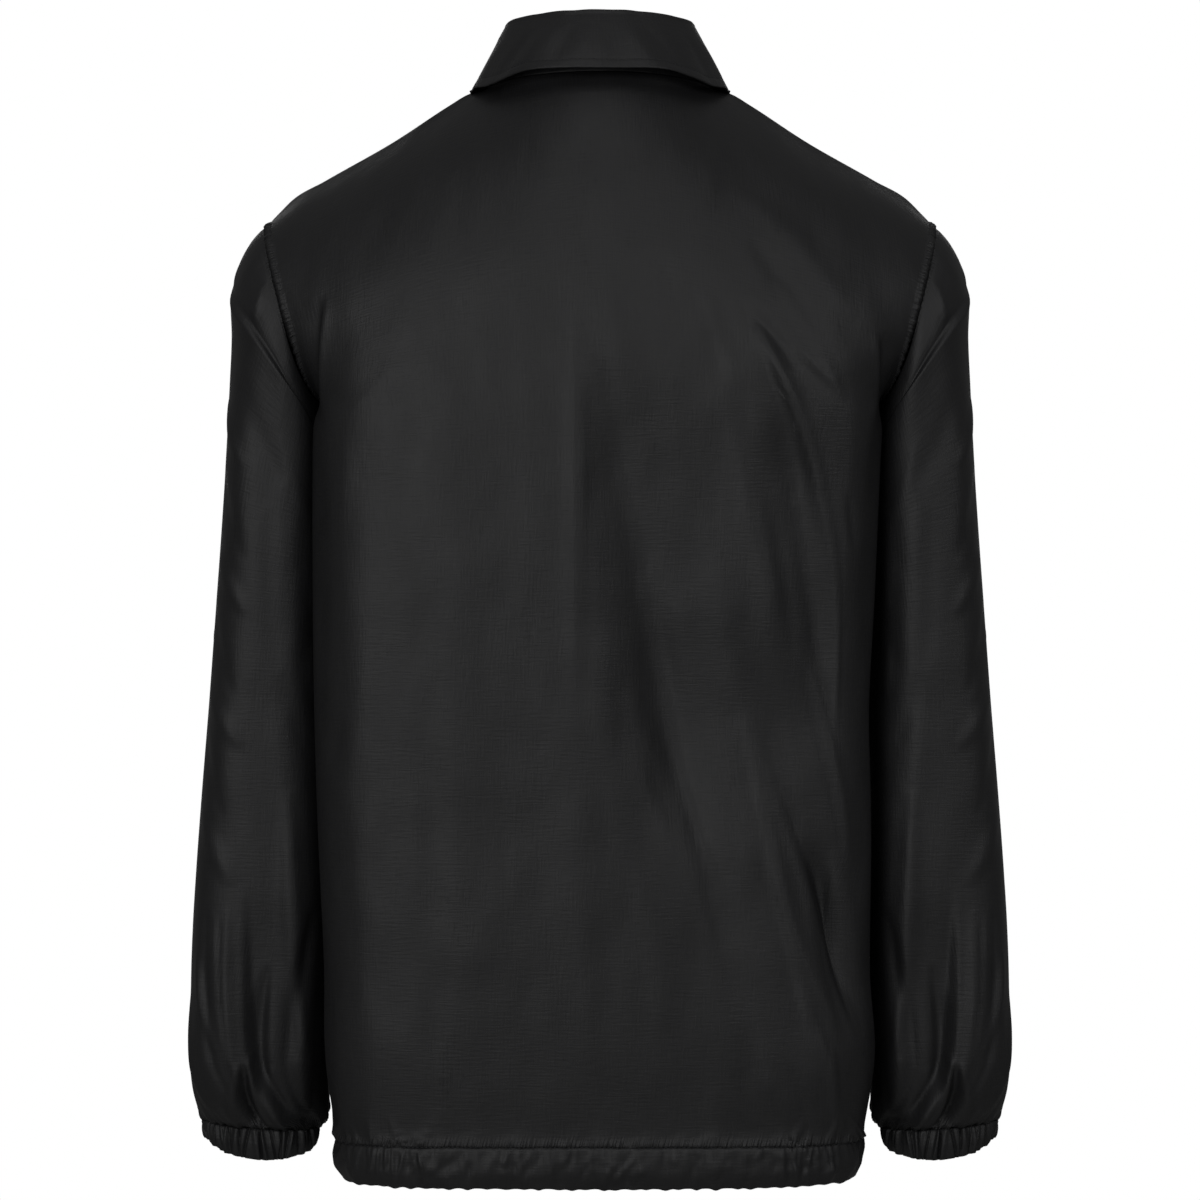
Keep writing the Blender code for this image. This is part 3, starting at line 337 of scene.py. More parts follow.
# Folds round the left sleeve, which the right one mirrors: the angle is in degrees from its outermost
# line, towards the back above zero and towards the front below.
SLEEVE_FOLDS = table(
    "angle0 z0 angle1 z1 bow width height skew",
    # Below the armhole, over and under the crease
    (20.0, -0.125, 62.0, -0.170, 0.003, 0.006, 0.0014, 0.0),
    (70.0, -0.115, 64.0, -0.165, 0.000, 0.007, 0.0020, 0.0),
    (45.0, -0.200, 100.0, -0.275, 0.004, 0.014, -0.0014, 0.0),
    (95.0, -0.240, 128.0, -0.300, 0.003, 0.010, 0.0008, 0.0),
    # Short slanting folds down the outer back
    (28.0, -0.215, 58.0, -0.262, 0.002, 0.0065, 0.0018, 0.0),
    (30.0, -0.262, 64.0, -0.325, 0.003, 0.0080, -0.0016, 0.0),
    (36.0, -0.318, 70.0, -0.362, 0.002, 0.0065, 0.0017, 0.0),
    (30.0, -0.352, 62.0, -0.418, 0.002, 0.0070, -0.0015, 0.0),
    (34.0, -0.410, 72.0, -0.452, 0.002, 0.0065, 0.0016, 0.0),
    (32.0, -0.440, 60.0, -0.500, 0.002, 0.0070, -0.0014, 0.0),
    (38.0, -0.492, 70.0, -0.545, 0.002, 0.0070, 0.0016, 0.0),
    # Long soft ones on the back of the arm
    (88.0, -0.290, 98.0, -0.400, 0.004, 0.012, -0.0010, 0.0),
    (118.0, -0.330, 108.0, -0.500, 0.004, 0.012, 0.0010, 0.0),
    (104.0, -0.400, 124.0, -0.450, 0.002, 0.009, -0.0009, 0.0),
    (130.0, -0.290, 134.0, -0.360, 0.002, 0.007, 0.0012, 0.0),
    (132.0, -0.380, 136.0, -0.420, 0.002, 0.006, 0.0012, 0.0),
    # The deep ones above the cuff
    (100.0, -0.600, 124.0, -0.706, 0.003, 0.0065, -0.0040, 0.2),
    (112.0, -0.480, 132.0, -0.660, 0.002, 0.0090, 0.0040, 0.0),
    (66.0, -0.560, 84.0, -0.690, 0.003, 0.0060, 0.0026, 0.0),
    (104.0, -0.670, 116.0, -0.716, 0.001, 0.0055, 0.0026, 0.0),
    (50.0, -0.560, 68.0, -0.690, 0.003, 0.0042, -0.0024, 0.0),
    (42.0, -0.590, 60.0, -0.660, 0.002, 0.0036, 0.0020, 0.0),
    (34.0, -0.620, 58.0, -0.712, 0.002, 0.0042, 0.0020, 0.0),
    (28.0, -0.640, 50.0, -0.712, 0.002, 0.0036, -0.0014, 0.0),
    (136.0, -0.560, 142.0, -0.706, 0.000, 0.0090, -0.0040, 0.0),
    # The tear drop at the cuff seam and its rims
    (84.0, -0.668, 86.0, -0.726, 0.000, 0.0052, -0.0090, 0.0),
    (80.0, -0.664, 68.0, -0.718, 0.001, 0.0034, 0.0022, 0.0),
    (88.0, -0.658, 99.0, -0.718, -0.001, 0.0034, 0.0034, 0.0),
    # The front of the arm, not shown in the photo
    (-30.0, -0.140, -74.0, -0.205, -0.003, 0.008, 0.0020, 0.0),
    (-48.0, -0.190, -112.0, -0.262, -0.004, 0.012, -0.0028, 0.0),
    (-36.0, -0.255, -68.0, -0.312, -0.003, 0.0075, 0.0017, 0.0),
    (-84.0, -0.280, -92.0, -0.480, -0.004, 0.012, -0.0024, 0.0),
    (-34.0, -0.350, -72.0, -0.405, -0.002, 0.0070, 0.0018, 0.0),
    (-36.0, -0.425, -66.0, -0.490, -0.002, 0.0075, -0.0016, 0.0),
    (-104.0, -0.330, -100.0, -0.520, -0.003, 0.012, 0.0022, 0.0),
    (-70.0, -0.500, -112.0, -0.690, -0.004, 0.0100, -0.0042, 0.0),
    (-52.0, -0.500, -64.0, -0.680, -0.003, 0.0080, 0.0026, 0.0),
    (-94.0, -0.520, -124.0, -0.660, -0.003, 0.0090, 0.0024, 0.0),
    (-84.0, -0.668, -86.0, -0.714, 0.000, 0.0044, -0.0030, 0.0),
    # Across the outer line, at the elbow and above the cuff
    (-24.0, -0.300, 20.0, -0.328, 0.002, 0.0075, 0.0014, 0.0),
    (22.0, -0.372, -20.0, -0.398, 0.002, 0.0075, 0.0014, 0.0),
    (-22.0, -0.450, 18.0, -0.478, 0.002, 0.0070, 0.0013, 0.0),
    (4.0, -0.500, -10.0, -0.670, 0.002, 0.0090, 0.0022, 0.0),
    (22.0, -0.560, 26.0, -0.690, 0.002, 0.0070, -0.0016, 0.0),
    (-26.0, -0.560, -30.0, -0.690, 0.002, 0.0070, -0.0016, 0.0),
)

# Where the sleeve's cloth lies over itself, as steps. Each stands out on the outer side of its line, so
# its height is above zero on the back of the arm and below zero on the front. Where height and reach
# have the same sign, that side is the broad one too.
SLEEVE_CREASES = table(
    "angle0 z0 angle1 z1 bow sharp reach height",
    (16.0, -0.132, 152.0, -0.238, -0.004, 0.0014, 0.020, 0.0030),
    (-16.0, -0.150, -150.0, -0.244, 0.004, 0.0016, -0.020, -0.0026),
    (60.0, -0.560, 72.0, -0.672, 0.003, 0.0014, 0.010, 0.0010),
    (30.0, -0.640, 56.0, -0.712, 0.002, 0.0012, 0.008, 0.0012),
    (-60.0, -0.560, -112.0, -0.672, -0.002, 0.0016, 0.016, -0.0040),
)

# Gathers of one half of the hem, the deep ones near the side first: seed, the first and last distance
# from the centre, spacing, half width, height, reach up from the seam and lean
HEM_GATHERS = (
    (0, 0.122, 0.184, 0.0038, 0.0010, 0.0024, 0.012, 0.6),
    (7, 0.003, 0.124, 0.0095, 0.0026, 0.0013, 0.009, 1.0),
    (17, 0.002, 0.180, 0.0027, 0.0009, 0.0007, 0.003, 0.6),
)
HEM_SEED = {"back": 31, "front": 57}

# Facets of the sleeve, which fall away towards its inner side, in angles from its outermost line
SLEEVE_FACETS = table(
    "z0 near0 far0 z1 near1 far1 slope back",
    (-0.530, 78.0, 80.0, -0.800, 133.0, 152.0, 0.75, 0.080),
)


def smooth_read(source, key, name, at):
    """A column of a table at any station between its rows, as a smooth curve through the rows."""
    stations = source[key]
    values = source[name]
    slopes = np.gradient(values, stations)
    at = np.clip(at, stations[0], stations[-1])
    low = np.clip(np.searchsorted(stations, at, side="right") - 1, 0, len(stations) - 2)
    span = stations[low + 1] - stations[low]
    t = (at - stations[low]) / span
    rise = values[low + 1] - values[low]
    start = slopes[low] * span
    end = slopes[low + 1] * span
    return values[low] + t * start + t**2 * (3 * rise - 2 * start - end) + t**3 * (start + end - 2 * rise)


def travelled(curve):
    """Distance along a polyline at each of its points."""
    steps = np.linalg.norm(np.diff(curve, axis=0), axis=1)
    return np.concatenate(([0.0], np.cumsum(steps)))


def along(curve, fractions):
    """Points at fractions of a polyline's length."""
    distance = travelled(curve)
    wanted = np.asarray(fractions) * distance[-1]
    return np.stack([np.interp(wanted, distance, curve[:, axis]) for axis in range(3)], axis=1)


def unit(vectors):
    """The same vectors, one metre long."""
    return vectors / np.maximum(np.linalg.norm(vectors, axis=-1, keepdims=True), 1e-12)


def armhole(angle):
    """The left armhole seam by angle: 0 at the shoulder, half a turn at the underarm, back first."""
    down = (1.0 - np.cos(angle)) / 2.0
    x = SHOULDER_REACH - ARMHOLE_LEAN * down**1.1 - ARMHOLE_TUCK * down**12
    y = ARMHOLE_HALF_DEPTH * np.sign(np.sin(angle)) * np.abs(np.sin(angle)) ** 0.92
    z = SHOULDER_LEVEL + (UNDERARM_LEVEL - SHOULDER_LEVEL) * down
    return np.stack([x, y, z], axis=-1)


def neckline(face, turn):
    """A quarter of the neck seam: turn 0 at the centre and a quarter turn at the shoulder."""
    x = NECK_HALF_WIDTH * np.sin(turn)
    facing = 1.0 if face == "back" else -1.0
    y = facing * TORSO[face + "_depth"][0] * np.cos(turn)
    z = TORSO[face + "_level"][0] * np.maximum(np.cos(turn), 0.0) ** 1.4
    return np.stack([x, y, z], axis=-1)


def top_row(face, fractions):
    """The top of a half panel: its neckline and then its shoulder seam, at the row's fractions."""
    neck = neckline(face, np.linspace(0.0, math.pi / 2, 300))
    reach = np.linspace(NECK_HALF_WIDTH, SHOULDER_REACH, 300)
    level = smooth_read(SHOULDER, "reach", "level", reach)
    seam = np.stack([reach, np.zeros_like(reach), level], axis=1)
    on_neck = along(neck, np.clip(fractions / NECK_SHARE, 0.0, 1.0))
    on_seam = along(seam, np.clip((fractions - NECK_SHARE) / (1.0 - NECK_SHARE), 0.0, 1.0))
    return np.where((fractions <= NECK_SHARE)[:, None], on_neck, on_seam)


def soft_step(value, first, last):
    """A smooth step from 0 at the first value to 1 at the last."""
    share = np.clip((value - first) / (last - first), 0.0, 1.0)
    return share**2 * (3.0 - 2.0 * share)


def grown(distance, reach):
    """Share of its height that relief has at a distance from an edge: none on it, all from the reach on."""
    return np.minimum(1.0, distance / reach)


def body_section(face, side, station, fractions):
    """One row of a half panel, from the centre to the armhole or the side seam, before the shoulders."""
    depth = smooth_read(TORSO, "station", face + "_depth", station)
    centre_level = smooth_read(TORSO, "station", face + "_level", station)
    squareness = smooth_read(TORSO, "station", "squareness", station)
    if face == "back":
        above, below = BACK_FLATNESS[side]
        flatness = above + (below - above) * soft_step(station, *BACK_FLAT_CHANGES)
        squareness += flatness * soft_step(station, *BACK_FLAT_BEGINS)
    power = 2.0 / squareness
    hollow = smooth_read(TORSO, "station", "hollow", station)
    half_width = smooth_read(TORSO, "station", side, station)
    if station < 1.0:
        end_x, end_y, end_level = armhole(np.float64(math.pi * station))
    else:
        end_x, end_y, end_level = half_width - hollow, 0.0, centre_level

    def arm_room(y):
        return hollow * np.exp(-((y / ARM_HOLLOW_SPREAD) ** 2))

    def side_ridge(y):
        return SIDE_RIDGE_SHARE * hollow * np.exp(-(((y - SIDE_RIDGE_DEPTH) / SIDE_RIDGE_SPREAD) ** 2))

    end_angle = math.acos(min(1.0, (end_y / depth) ** (1.0 / power)))
    flat_end = end_x + arm_room(end_y) - side_ridge(end_y)
    width = flat_end / math.sin(end_angle) ** power
    angle = np.linspace(0.0, 1.0, 900) ** 1.6 * end_angle
    x = width * np.sin(angle) ** power
    y = depth * np.maximum(np.cos(angle), 0.0) ** power
    x = x + (side_ridge(y) - arm_room(y)) * np.minimum(1.0, x / HOLLOW_REACH)
    facing = 1.0 if face == "back" else -1.0
    curve = np.stack([x, facing * y, np.zeros_like(x)], axis=1)
    row = along(curve, fractions)
    row[:, 2] = centre_level + (end_level - centre_level) * fractions**1.5
    return row


def half_panel(face, side, stations, fractions):
    """A half panel of the body as a grid: rows run down it, columns from the centre to its side."""
    lift = top_row(face, fractions) - body_section(face, side, 0.0, fractions)
    rows = []
    for station in stations:
        share = max(0.0, 1.0 - station / SHOULDER_FADE) ** 2.4
        rows.append(body_section(face, side, station, fractions) + share * lift)
    grid = np.array(rows)
    if side == "right":
        grid[..., 0] *= -1.0
    return grid


def fold_place(across, down, across0, down0, across1, down1, bow):
    """Share of a fold's length that each point has reached, and its distance to one side of it."""
    length = math.hypot(across1 - across0, down1 - down0)
    way_across, way_down = (across1 - across0) / length, (down1 - down0) / length
    travel = ((across - across0) * way_across + (down - down0) * way_down) / length
    aside = (across - across0) * way_down - (down - down0) * way_across
    reached = np.clip(travel, 0.0, 1.0)
    return reached, aside - bow * np.sin(np.pi * reached)


def fold_height(folds, across, down):
    """Height of the folds at each point: every fold is widest in its middle and fades at its ends."""
    height = np.zeros_like(across)
    for first, z0, second, z1, bow, width, rise, skew in zip(*folds):
        reached, aside = fold_place(across, down, first, z0, second, z1, bow)
        middle = np.sin(np.pi * reached)
        breadth = width * (0.55 + 0.45 * middle) * (1.0 + skew * np.sign(aside))
        height += rise * middle**0.7 * np.exp(-((aside / breadth) ** 2))
    return height


def crease_height(creases, across, down):
    """Height of the creases: a step that dies away slowly on its broad side and fast on the other."""
    height = np.zeros_like(across)
    for first, z0, second, z1, bow, sharp, reach, rise in zip(*creases):
        reached, aside = fold_place(across, down, first, z0, second, z1, bow)
        fade = soft_step(np.minimum(reached, 1.0 - reached), 0.0, CREASE_END)
        dies = abs(reach) * np.where(aside * reach > 0.0, 1.0, CREASE_FAST_SIDE)
        height += rise * fade * np.tanh(aside / sharp) * np.exp(-np.abs(aside) / dies)
    return height


def facet_height(facets, across, down):
    """Height of the facets: the cloth falls away from the near line to the far one, then comes back.

    Both lines bow as they run down, so that a facet opens quickly at its upper end.
    """
    height = np.zeros_like(across)
    for z0, near0, far0, z1, near1, far1, slope, back in zip(*facets):
        reached = np.clip((z0 - down) / (z0 - z1), 0.0, 1.0)
        near = near0 + (near1 - near0) * reached**1.6
        far = far0 + (far1 - far0) * reached**0.8
        way = math.copysign(1.0, far1 - near1)
        wide = np.abs(far - near)
        gone = way * (across - near)
        fall = np.clip(gone, 0.0, wide) * np.exp(-np.clip(gone - wide, 0.0, None) / back)
        upper = soft_step(reached, 0.0, FACET_UPPER_END)
        lower = soft_step(1.0 - reached, 0.0, FACET_LOWER_END)
        height -= slope * fall * np.minimum(upper, lower)
    return smoothed(height, 2)


def gathers(run, drop, seed, first, last, spacing, width, height, reach, lean):
    """Ridges that run out from a seam, uneven in place, height, slant and length.

    run is the distance along the seam and drop the distance from it.
    """
    chance = np.random.default_rng(seed)
    total = np.zeros_like(run)
    place = first
    while place < last:
        rise = height * chance.uniform(0.35, 1.0)
        slant = lean * chance.uniform(-1.0, 1.0)
        length = reach * chance.uniform(0.5, 1.3)
        breadth = width * chance.uniform(0.75, 1.3) * (1.0 + 0.8 * np.minimum(drop / length, 1.5))
        aside = (run - place - slant * drop) / breadth
        total += rise * np.exp(-(aside**2)) * np.exp(-((drop / length) ** 2))
        place += spacing * chance.uniform(0.65, 1.4)
    return total


def crumples(across, down, seed, count, span, levels, length, width, height):
    """Short dents and humps at uneven places and slants, between limits across and down."""
    chance = np.random.default_rng(seed)
    total = np.zeros_like(across)
    for _ in range(count):
        first, z0 = chance.uniform(*span), chance.uniform(*levels)
        reach, turn = length * chance.uniform(0.5, 1.2), chance.uniform(-1.1, 1.1)
        second, z1 = first + reach * math.sin(turn), z0 + reach * math.cos(turn)
        reached, aside = fold_place(across, down, first, z0, second, z1, 0.0)
        breadth = width * chance.uniform(0.6, 1.4)
        rise = height * chance.uniform(-1.0, 1.0)
        total += rise * np.sin(np.pi * reached) * np.exp(-((aside / breadth) ** 2))
    return total


def grid_normals(grid, closed):
    """Unit normals of a grid, from its neighbours each way."""
    down = np.gradient(grid, axis=0)
    if closed:
        across = (np.roll(grid, -1, axis=1) - np.roll(grid, 1, axis=1)) / 2.0
    else:
        across = np.gradient(grid, axis=1)
    return unit(np.cross(across, down))


def outward(normals, grid, centre):
    """The same normals, turned to point away from a point or line inside."""
    return -normals if np.sum(normals * (grid - centre)) < 0.0 else normals


def edge_distance(grid, edge):
    """Distance of each grid point from one side of the grid, along its row."""
    steps = np.linalg.norm(np.diff(grid, axis=1), axis=-1)
    zero = np.zeros((len(grid), 1))
    if edge == "first":
        return np.concatenate([zero, np.cumsum(steps, axis=1)], axis=1)
    return np.concatenate([np.cumsum(steps[:, ::-1], axis=1)[:, ::-1], zero], axis=1)


def row_distance(grid, edge):
    """Distance of each grid point from the first or last row, along its column."""
    turned = np.swapaxes(grid, 0, 1)
    return np.swapaxes(edge_distance(turned, edge), 0, 1)


def smoothed(grid, passes):
    """A grid with its inner points averaged with their neighbours, its sides kept."""
    grid = grid.copy()
    for _ in range(passes):
        middle = grid[1:-1, 1:-1]
        around = grid[:-2, 1:-1] + grid[2:, 1:-1] + grid[1:-1, :-2] + grid[1:-1, 2:]
        grid[1:-1, 1:-1] = 0.5 * middle + 0.125 * around
    return grid


def eased(grid, row, reach, passes):
    """A grid without the crease that runs along a row: its columns are averaged near that row."""
    rows = np.arange(len(grid))
    weight = np.clip(1.0 - np.abs(rows - row) / reach, 0.0, 1.0)[1:-1, None, None]
    from_side = np.minimum(edge_distance(grid, "first"), edge_distance(grid, "last"))
    weight = 0.5 * np.minimum(1.0, 2.0 * weight) * np.minimum(1.0, from_side[1:-1, :, None] / 0.012)
    eased_grid = grid.copy()
    for _ in range(passes):
        mean = (eased_grid[:-2] + eased_grid[2:]) / 2.0
        eased_grid[1:-1] += weight * (mean - eased_grid[1:-1])
    return eased_grid


def seam_valley(distance, depth=SEAM_DEPTH, reach=SEAM_SPREAD):
    """How far a seam draws the cloth in, at a distance from it."""
    return -depth * np.exp(-((distance / reach) ** 2))


def stitch_valley(distance, place):
    """How far a row of topstitching presses the cloth in."""
    return -0.00045 * np.exp(-(((distance - place) / 0.0011) ** 2))


def beside_placket(x):
    """Share of its full height that a fold or swell has at X: none under the placket."""
    return np.clip((np.abs(x) - PLACKET_FLAT) / PLACKET_BLEND, 0.0, 1.0)


def spread(count, density):
    """Numbers from 0 to 1 in a count of steps, closer together where the density is higher."""
    place = np.linspace(0.0, 1.0, 2001)
    amount = np.concatenate([[0.0], np.cumsum(density(place[1:] - 0.00025))])
    return np.interp(np.linspace(0.0, amount[-1], count + 1), amount, place)


def body_fractions():
    """Columns of a half panel: even across the neck, then closer together towards the side."""
    neck = np.linspace(0.0, NECK_SHARE, NECK_COLUMNS + 1)
    side = spread(SHOULDER_COLUMNS, lambda t: 1.0 + 1.3 * np.clip((t - 0.15) / 0.25, 0.0, 1.0))
    return np.concatenate([neck, NECK_SHARE + (1.0 - NECK_SHARE) * side[1:]])


def body_stations():
    """Rows of the body: along the armhole, then down to the hem, where they lie closer again."""
    upper = np.linspace(0.0, 1.0, ARMHOLE_ROWS + 1)
    lower = 1.0 + spread(BODY_ROWS, lambda t: (1.0 + 2.6 * np.clip((t - 0.92) / 0.05, 0.0, 1.0)
                                               + 1.6 * np.clip(1.0 - t / 0.09, 0.0, 1.0)))
    return np.concatenate([upper, lower[1:]])


def hem_gather_height(face, x, drop):
    """The hem's gathers, which cross its stitch line: close together towards the side seams."""
    total = np.zeros_like(x)
    for number, side in enumerate((1.0, -1.0)):
        for seed, *ridges in HEM_GATHERS:
            total += gathers(side * x, drop, HEM_SEED[face] + seed + number, *ridges)
    return total * (beside_placket(x) if face == "front" else 1.0)


@functools.lru_cache(maxsize=None)
def body_face(face):
    """The whole back or front with its folds: its grid, normals and plain grid without folds."""
    stations = body_stations()
    fractions = body_fractions()
    left = half_panel(face, "left", stations, fractions)
    right = half_panel(face, "right", stations, fractions)
    whole = np.concatenate([right[:, ::-1], left[:, 1:]], axis=1)
    plain = eased(whole, ARMHOLE_ROWS, reach=60, passes=160)
    for corner in (SHOULDER_COLUMNS, SHOULDER_COLUMNS + 2 * NECK_COLUMNS):
        plain = np.swapaxes(eased(np.swapaxes(plain, 0, 1), corner, reach=18, passes=60), 0, 1)
    normals = outward(grid_normals(plain, False), plain, BODY_MIDDLE)
    from_side = np.minimum(edge_distance(plain, "first"), edge_distance(plain, "last"))
    from_hem = row_distance(plain, "last")
    from_top = row_distance(plain, "first")
    x, z = plain[..., 0], plain[..., 2]
    folds = BACK_FOLDS if face == "back" else FRONT_FOLDS
    fade = grown(from_side, FOLDS_FROM_SIDE) * grown(from_hem, FOLDS_FROM_HEM)
    fade = fade * grown(from_top, FOLDS_FROM_TOP)
    if face == "front":
        fade = fade * beside_placket(x)
    height = fold_height(folds.values(), x, z) * fade
    height += hem_gather_height(face, x, from_hem) * grown(from_side, GATHERS_FROM_SIDE)
    if face == "back":
        height += crease_height(BACK_CREASES.values(), x, z) * grown(from_side, CREASES_FROM_SIDE)
        height += facet_height(BACK_FACETS.values(), x, z) * grown(from_side, FACETS_FROM_SIDE)
    height += seam_valley(from_hem, depth=0.0002, reach=0.0010) + armhole_sewing(plain, from_side)
    columns = np.arange(plain.shape[1]) - (NECK_COLUMNS + SHOULDER_COLUMNS)
    on_shoulder = np.clip((np.abs(columns) - NECK_COLUMNS) / 4.0, 0.0, 1.0)
    height += seam_valley(from_top) * on_shoulder[None, :]
    side_rows = np.clip((stations - 1.0) / 0.02, 0.0, 1.0)[:, None]
    height += seam_valley(from_side) * side_rows
    return plain, normals, height


def armhole_sewing(plain, from_side):
    """Puckers between the armhole seam and its topstitching, and the press of each."""
    sewn = np.zeros_like(from_side)
    upper = slice(0, ARMHOLE_ROWS + 1)
    for edge, seed in (("first", 11), ("last", 12)):
        column = 0 if edge == "first" else -1
        seam = travelled(plain[upper, column])
        distance = edge_distance(plain, edge)[upper]
        run = np.broadcast_to(seam[:, None], distance.shape)
        near = np.exp(-((distance / 0.0052) ** 4))
        pucker = gathers(run, distance, seed, 0.004, seam[-1], 0.0042, 0.0011, 0.0016, 0.012, 0.4)
        band = 0.0004 * np.exp(-(((distance - 0.0028) / 0.0018) ** 2))
        sewn[upper] += pucker * near + band + seam_valley(distance)
        sewn[upper] += stitch_valley(distance, ARMHOLE_STITCH)
    return sewn


def share_normals(*edges):
    """Give pieces that meet at a seam one wall direction, except where they lie back to back."""
    for row in range(len(edges[0])):
        total = sum(edge[row] for edge in edges)
        if np.linalg.norm(total) > 0.62 * len(edges):
            for edge in edges:
                edge[row] = total / np.linalg.norm(total)


@functools.lru_cache(maxsize=None)
def body_faces():
    """Back and front: their outer grids and wall directions, square to the seams that they share."""
    back, back_normals, back_height = body_face("back")
    front, front_normals, front_height = body_face("front")
    back_normals, front_normals = back_normals.copy(), front_normals.copy()
    middle = NECK_COLUMNS + SHOULDER_COLUMNS
    for column in range(1, SHOULDER_COLUMNS):
        for on_seam in (column, 2 * middle - column):
            share_normals(back_normals[:1, on_seam], front_normals[:1, on_seam])
    for edge, mirror in ((0, -1.0), (-1, 1.0)):
        share_normals(back_normals[ARMHOLE_ROWS:, edge], front_normals[ARMHOLE_ROWS:, edge])
        back_turn = math.pi * np.linspace(0.0, 1.0, ARMHOLE_ROWS + 1)
        for face_normals, turn in ((back_normals, back_turn), (front_normals, -back_turn)):
            sleeve_side = sleeve_seam_normals(turn) * np.array([mirror, 1.0, 1.0])
            share_normals(face_normals[:ARMHOLE_ROWS, edge], sleeve_side[:ARMHOLE_ROWS])
    back = back + back_height[..., None] * back_normals
    front = front + front_height[..., None] * front_normals
    return (back, back_normals), (front, front_normals)


def sleeve_rings():
    """Rings of the sleeve, evenly spaced down its outer line."""
    rings = np.linspace(0.0, SLEEVE["ring"][-1], 400)
    line = np.stack([smooth_read(SLEEVE, "ring", name, rings) for name in ("out_x", "out_z")], axis=1)
    distance = travelled(line)
    return np.interp(np.linspace(0.0, distance[-1], SLEEVE_ROWS + 1), distance, rings)


def sleeve_plain(rings, angle):
    """The left sleeve without folds: rings from the armhole to the cuff, by angle from the outer line."""
    last_ring = SLEEVE["ring"][-1]

    def oval(ring):
        out_x, out_z, in_x, in_z, half_depth = (
            smooth_read(SLEEVE, "ring", name, ring) for name in "out_x out_z in_x in_z half_depth".split()
        )
        squared = SLEEVE_FLATNESS * np.clip(min(ring / 6.0, (last_ring - ring) / 3.0), 0.0, 1.0)
        first, last = SLEEVE_INNER_RINGS
        inner = np.clip((ring - first) / (last - first), SLEEVE_INNER_SHARE, 1.0)
        flat = 2.0 + squared * np.where(np.cos(angle) < 0.0, inner, 1.0)
        reach = (np.abs(np.cos(angle)) ** flat + np.abs(np.sin(angle)) ** flat) ** (-1.0 / flat)
        x = (out_x + in_x) / 2 + (out_x - in_x) / 2 * reach * np.cos(angle)
        y = half_depth * reach * np.sin(angle)
        z = (out_z + in_z) / 2 + (out_z - in_z) / 2 * reach * np.cos(angle)
        return np.stack([x, y, z], axis=1)

    lift = armhole(angle) - oval(0.0)
    return np.array([oval(ring) + max(0.0, 1.0 - ring / 5.0) ** 2 * lift for ring in rings])


def sleeve_angles():
    """Angles of the sleeve's columns, from its outermost line round its back."""
    return np.linspace(0.0, 2 * math.pi, SLEEVE_COLUMNS, endpoint=False)


def sleeve_seam_normals(turn):
    """Normals of the sleeve at the armhole, at angles round it."""
    angle = sleeve_angles()
    near = sleeve_plain(np.linspace(0.0, 0.6, 4), angle)
    normals = outward(grid_normals(near, True), near, near.mean(axis=1, keepdims=True))[0]
    wanted = np.mod(turn, 2 * math.pi)
    wrapped = np.concatenate([normals, normals[:1]])
    steps = np.concatenate([angle, [2 * math.pi]])
    return unit(np.stack([np.interp(wanted, steps, wrapped[:, axis]) for axis in range(3)], axis=1))


@functools.lru_cache(maxsize=None)
def sleeve_form():
    """The left sleeve: its outer grid and normals, with folds, gathers and sewing."""
    angle = sleeve_angles()
    rings = sleeve_rings()
    plain = sleeve_plain(rings, angle)
    normals = outward(grid_normals(plain, True), plain, plain.mean(axis=1, keepdims=True))
    around = np.linalg.norm(plain - np.roll(plain, 1, axis=1), axis=-1)
    girth = around.sum(axis=1)
    degrees = np.degrees(angle)
    degrees = np.where(degrees > 180.0, degrees - 360.0, degrees)
    across = degrees[None, :] * girth[:, None] / 360.0
    down = plain[..., 2]
    level = down.mean(axis=1)

    def unrolled(source):
        """A table's columns, with its angles turned to lengths round the sleeve at their own level."""
        columns = dict(source)
        for end in "01":
            local_girth = np.interp(-source["z" + end], -level, girth)
            for name in ("angle" + end, "near" + end, "far" + end):
                if name in source:
                    columns[name] = source[name] * local_girth / 360.0
        return columns.values()

    from_seam = row_distance(plain, "first")
    from_cuff = row_distance(plain, "last")
    inner_fade = np.clip((170.0 - np.abs(degrees)) / 25.0, 0.0, 1.0)[None, :]
    fade = grown(from_seam, FOLDS_FROM_ARMHOLE) * grown(from_cuff, FOLDS_FROM_CUFF) * inner_fade
    height = fold_height(unrolled(SLEEVE_FOLDS), across, down) * fade
    height += crease_height(unrolled(SLEEVE_CREASES), across, down) * fade
    height += facet_height(unrolled(SLEEVE_FACETS), across, down) * fade
    run = np.cumsum(around, axis=1)
    height += gathers(run, from_cuff, 21, 0.0, girth[-1], 0.0085, 0.0024, 0.0030, 0.014, 0.4)
    height += seam_valley(from_seam) + 1.6 * seam_valley(from_cuff)
    return plain + height[..., None] * normals, normals


def new_object(name, mesh, material):
    """A finished mesh object at the origin with its material."""
    mesh.materials.append(material)
    mesh.shade_smooth()
    piece = bpy.data.objects.new(name, mesh)
    bpy.context.scene.collection.objects.link(piece)
    return piece


def with_uv(mesh, corner_uv):
    """Give a mesh its cloth map, in metres, and where it has one its seam map."""
    corner_uv = np.asarray(corner_uv, dtype=np.float32)
    for name, columns in (("cloth", slice(0, 2)), ("seam", slice(2, 4)))[:corner_uv.shape[-1] // 2]:
        layer = mesh.uv_layers.new(name=name)
        layer.data.foreach_set("uv", corner_uv[:, columns].ravel())


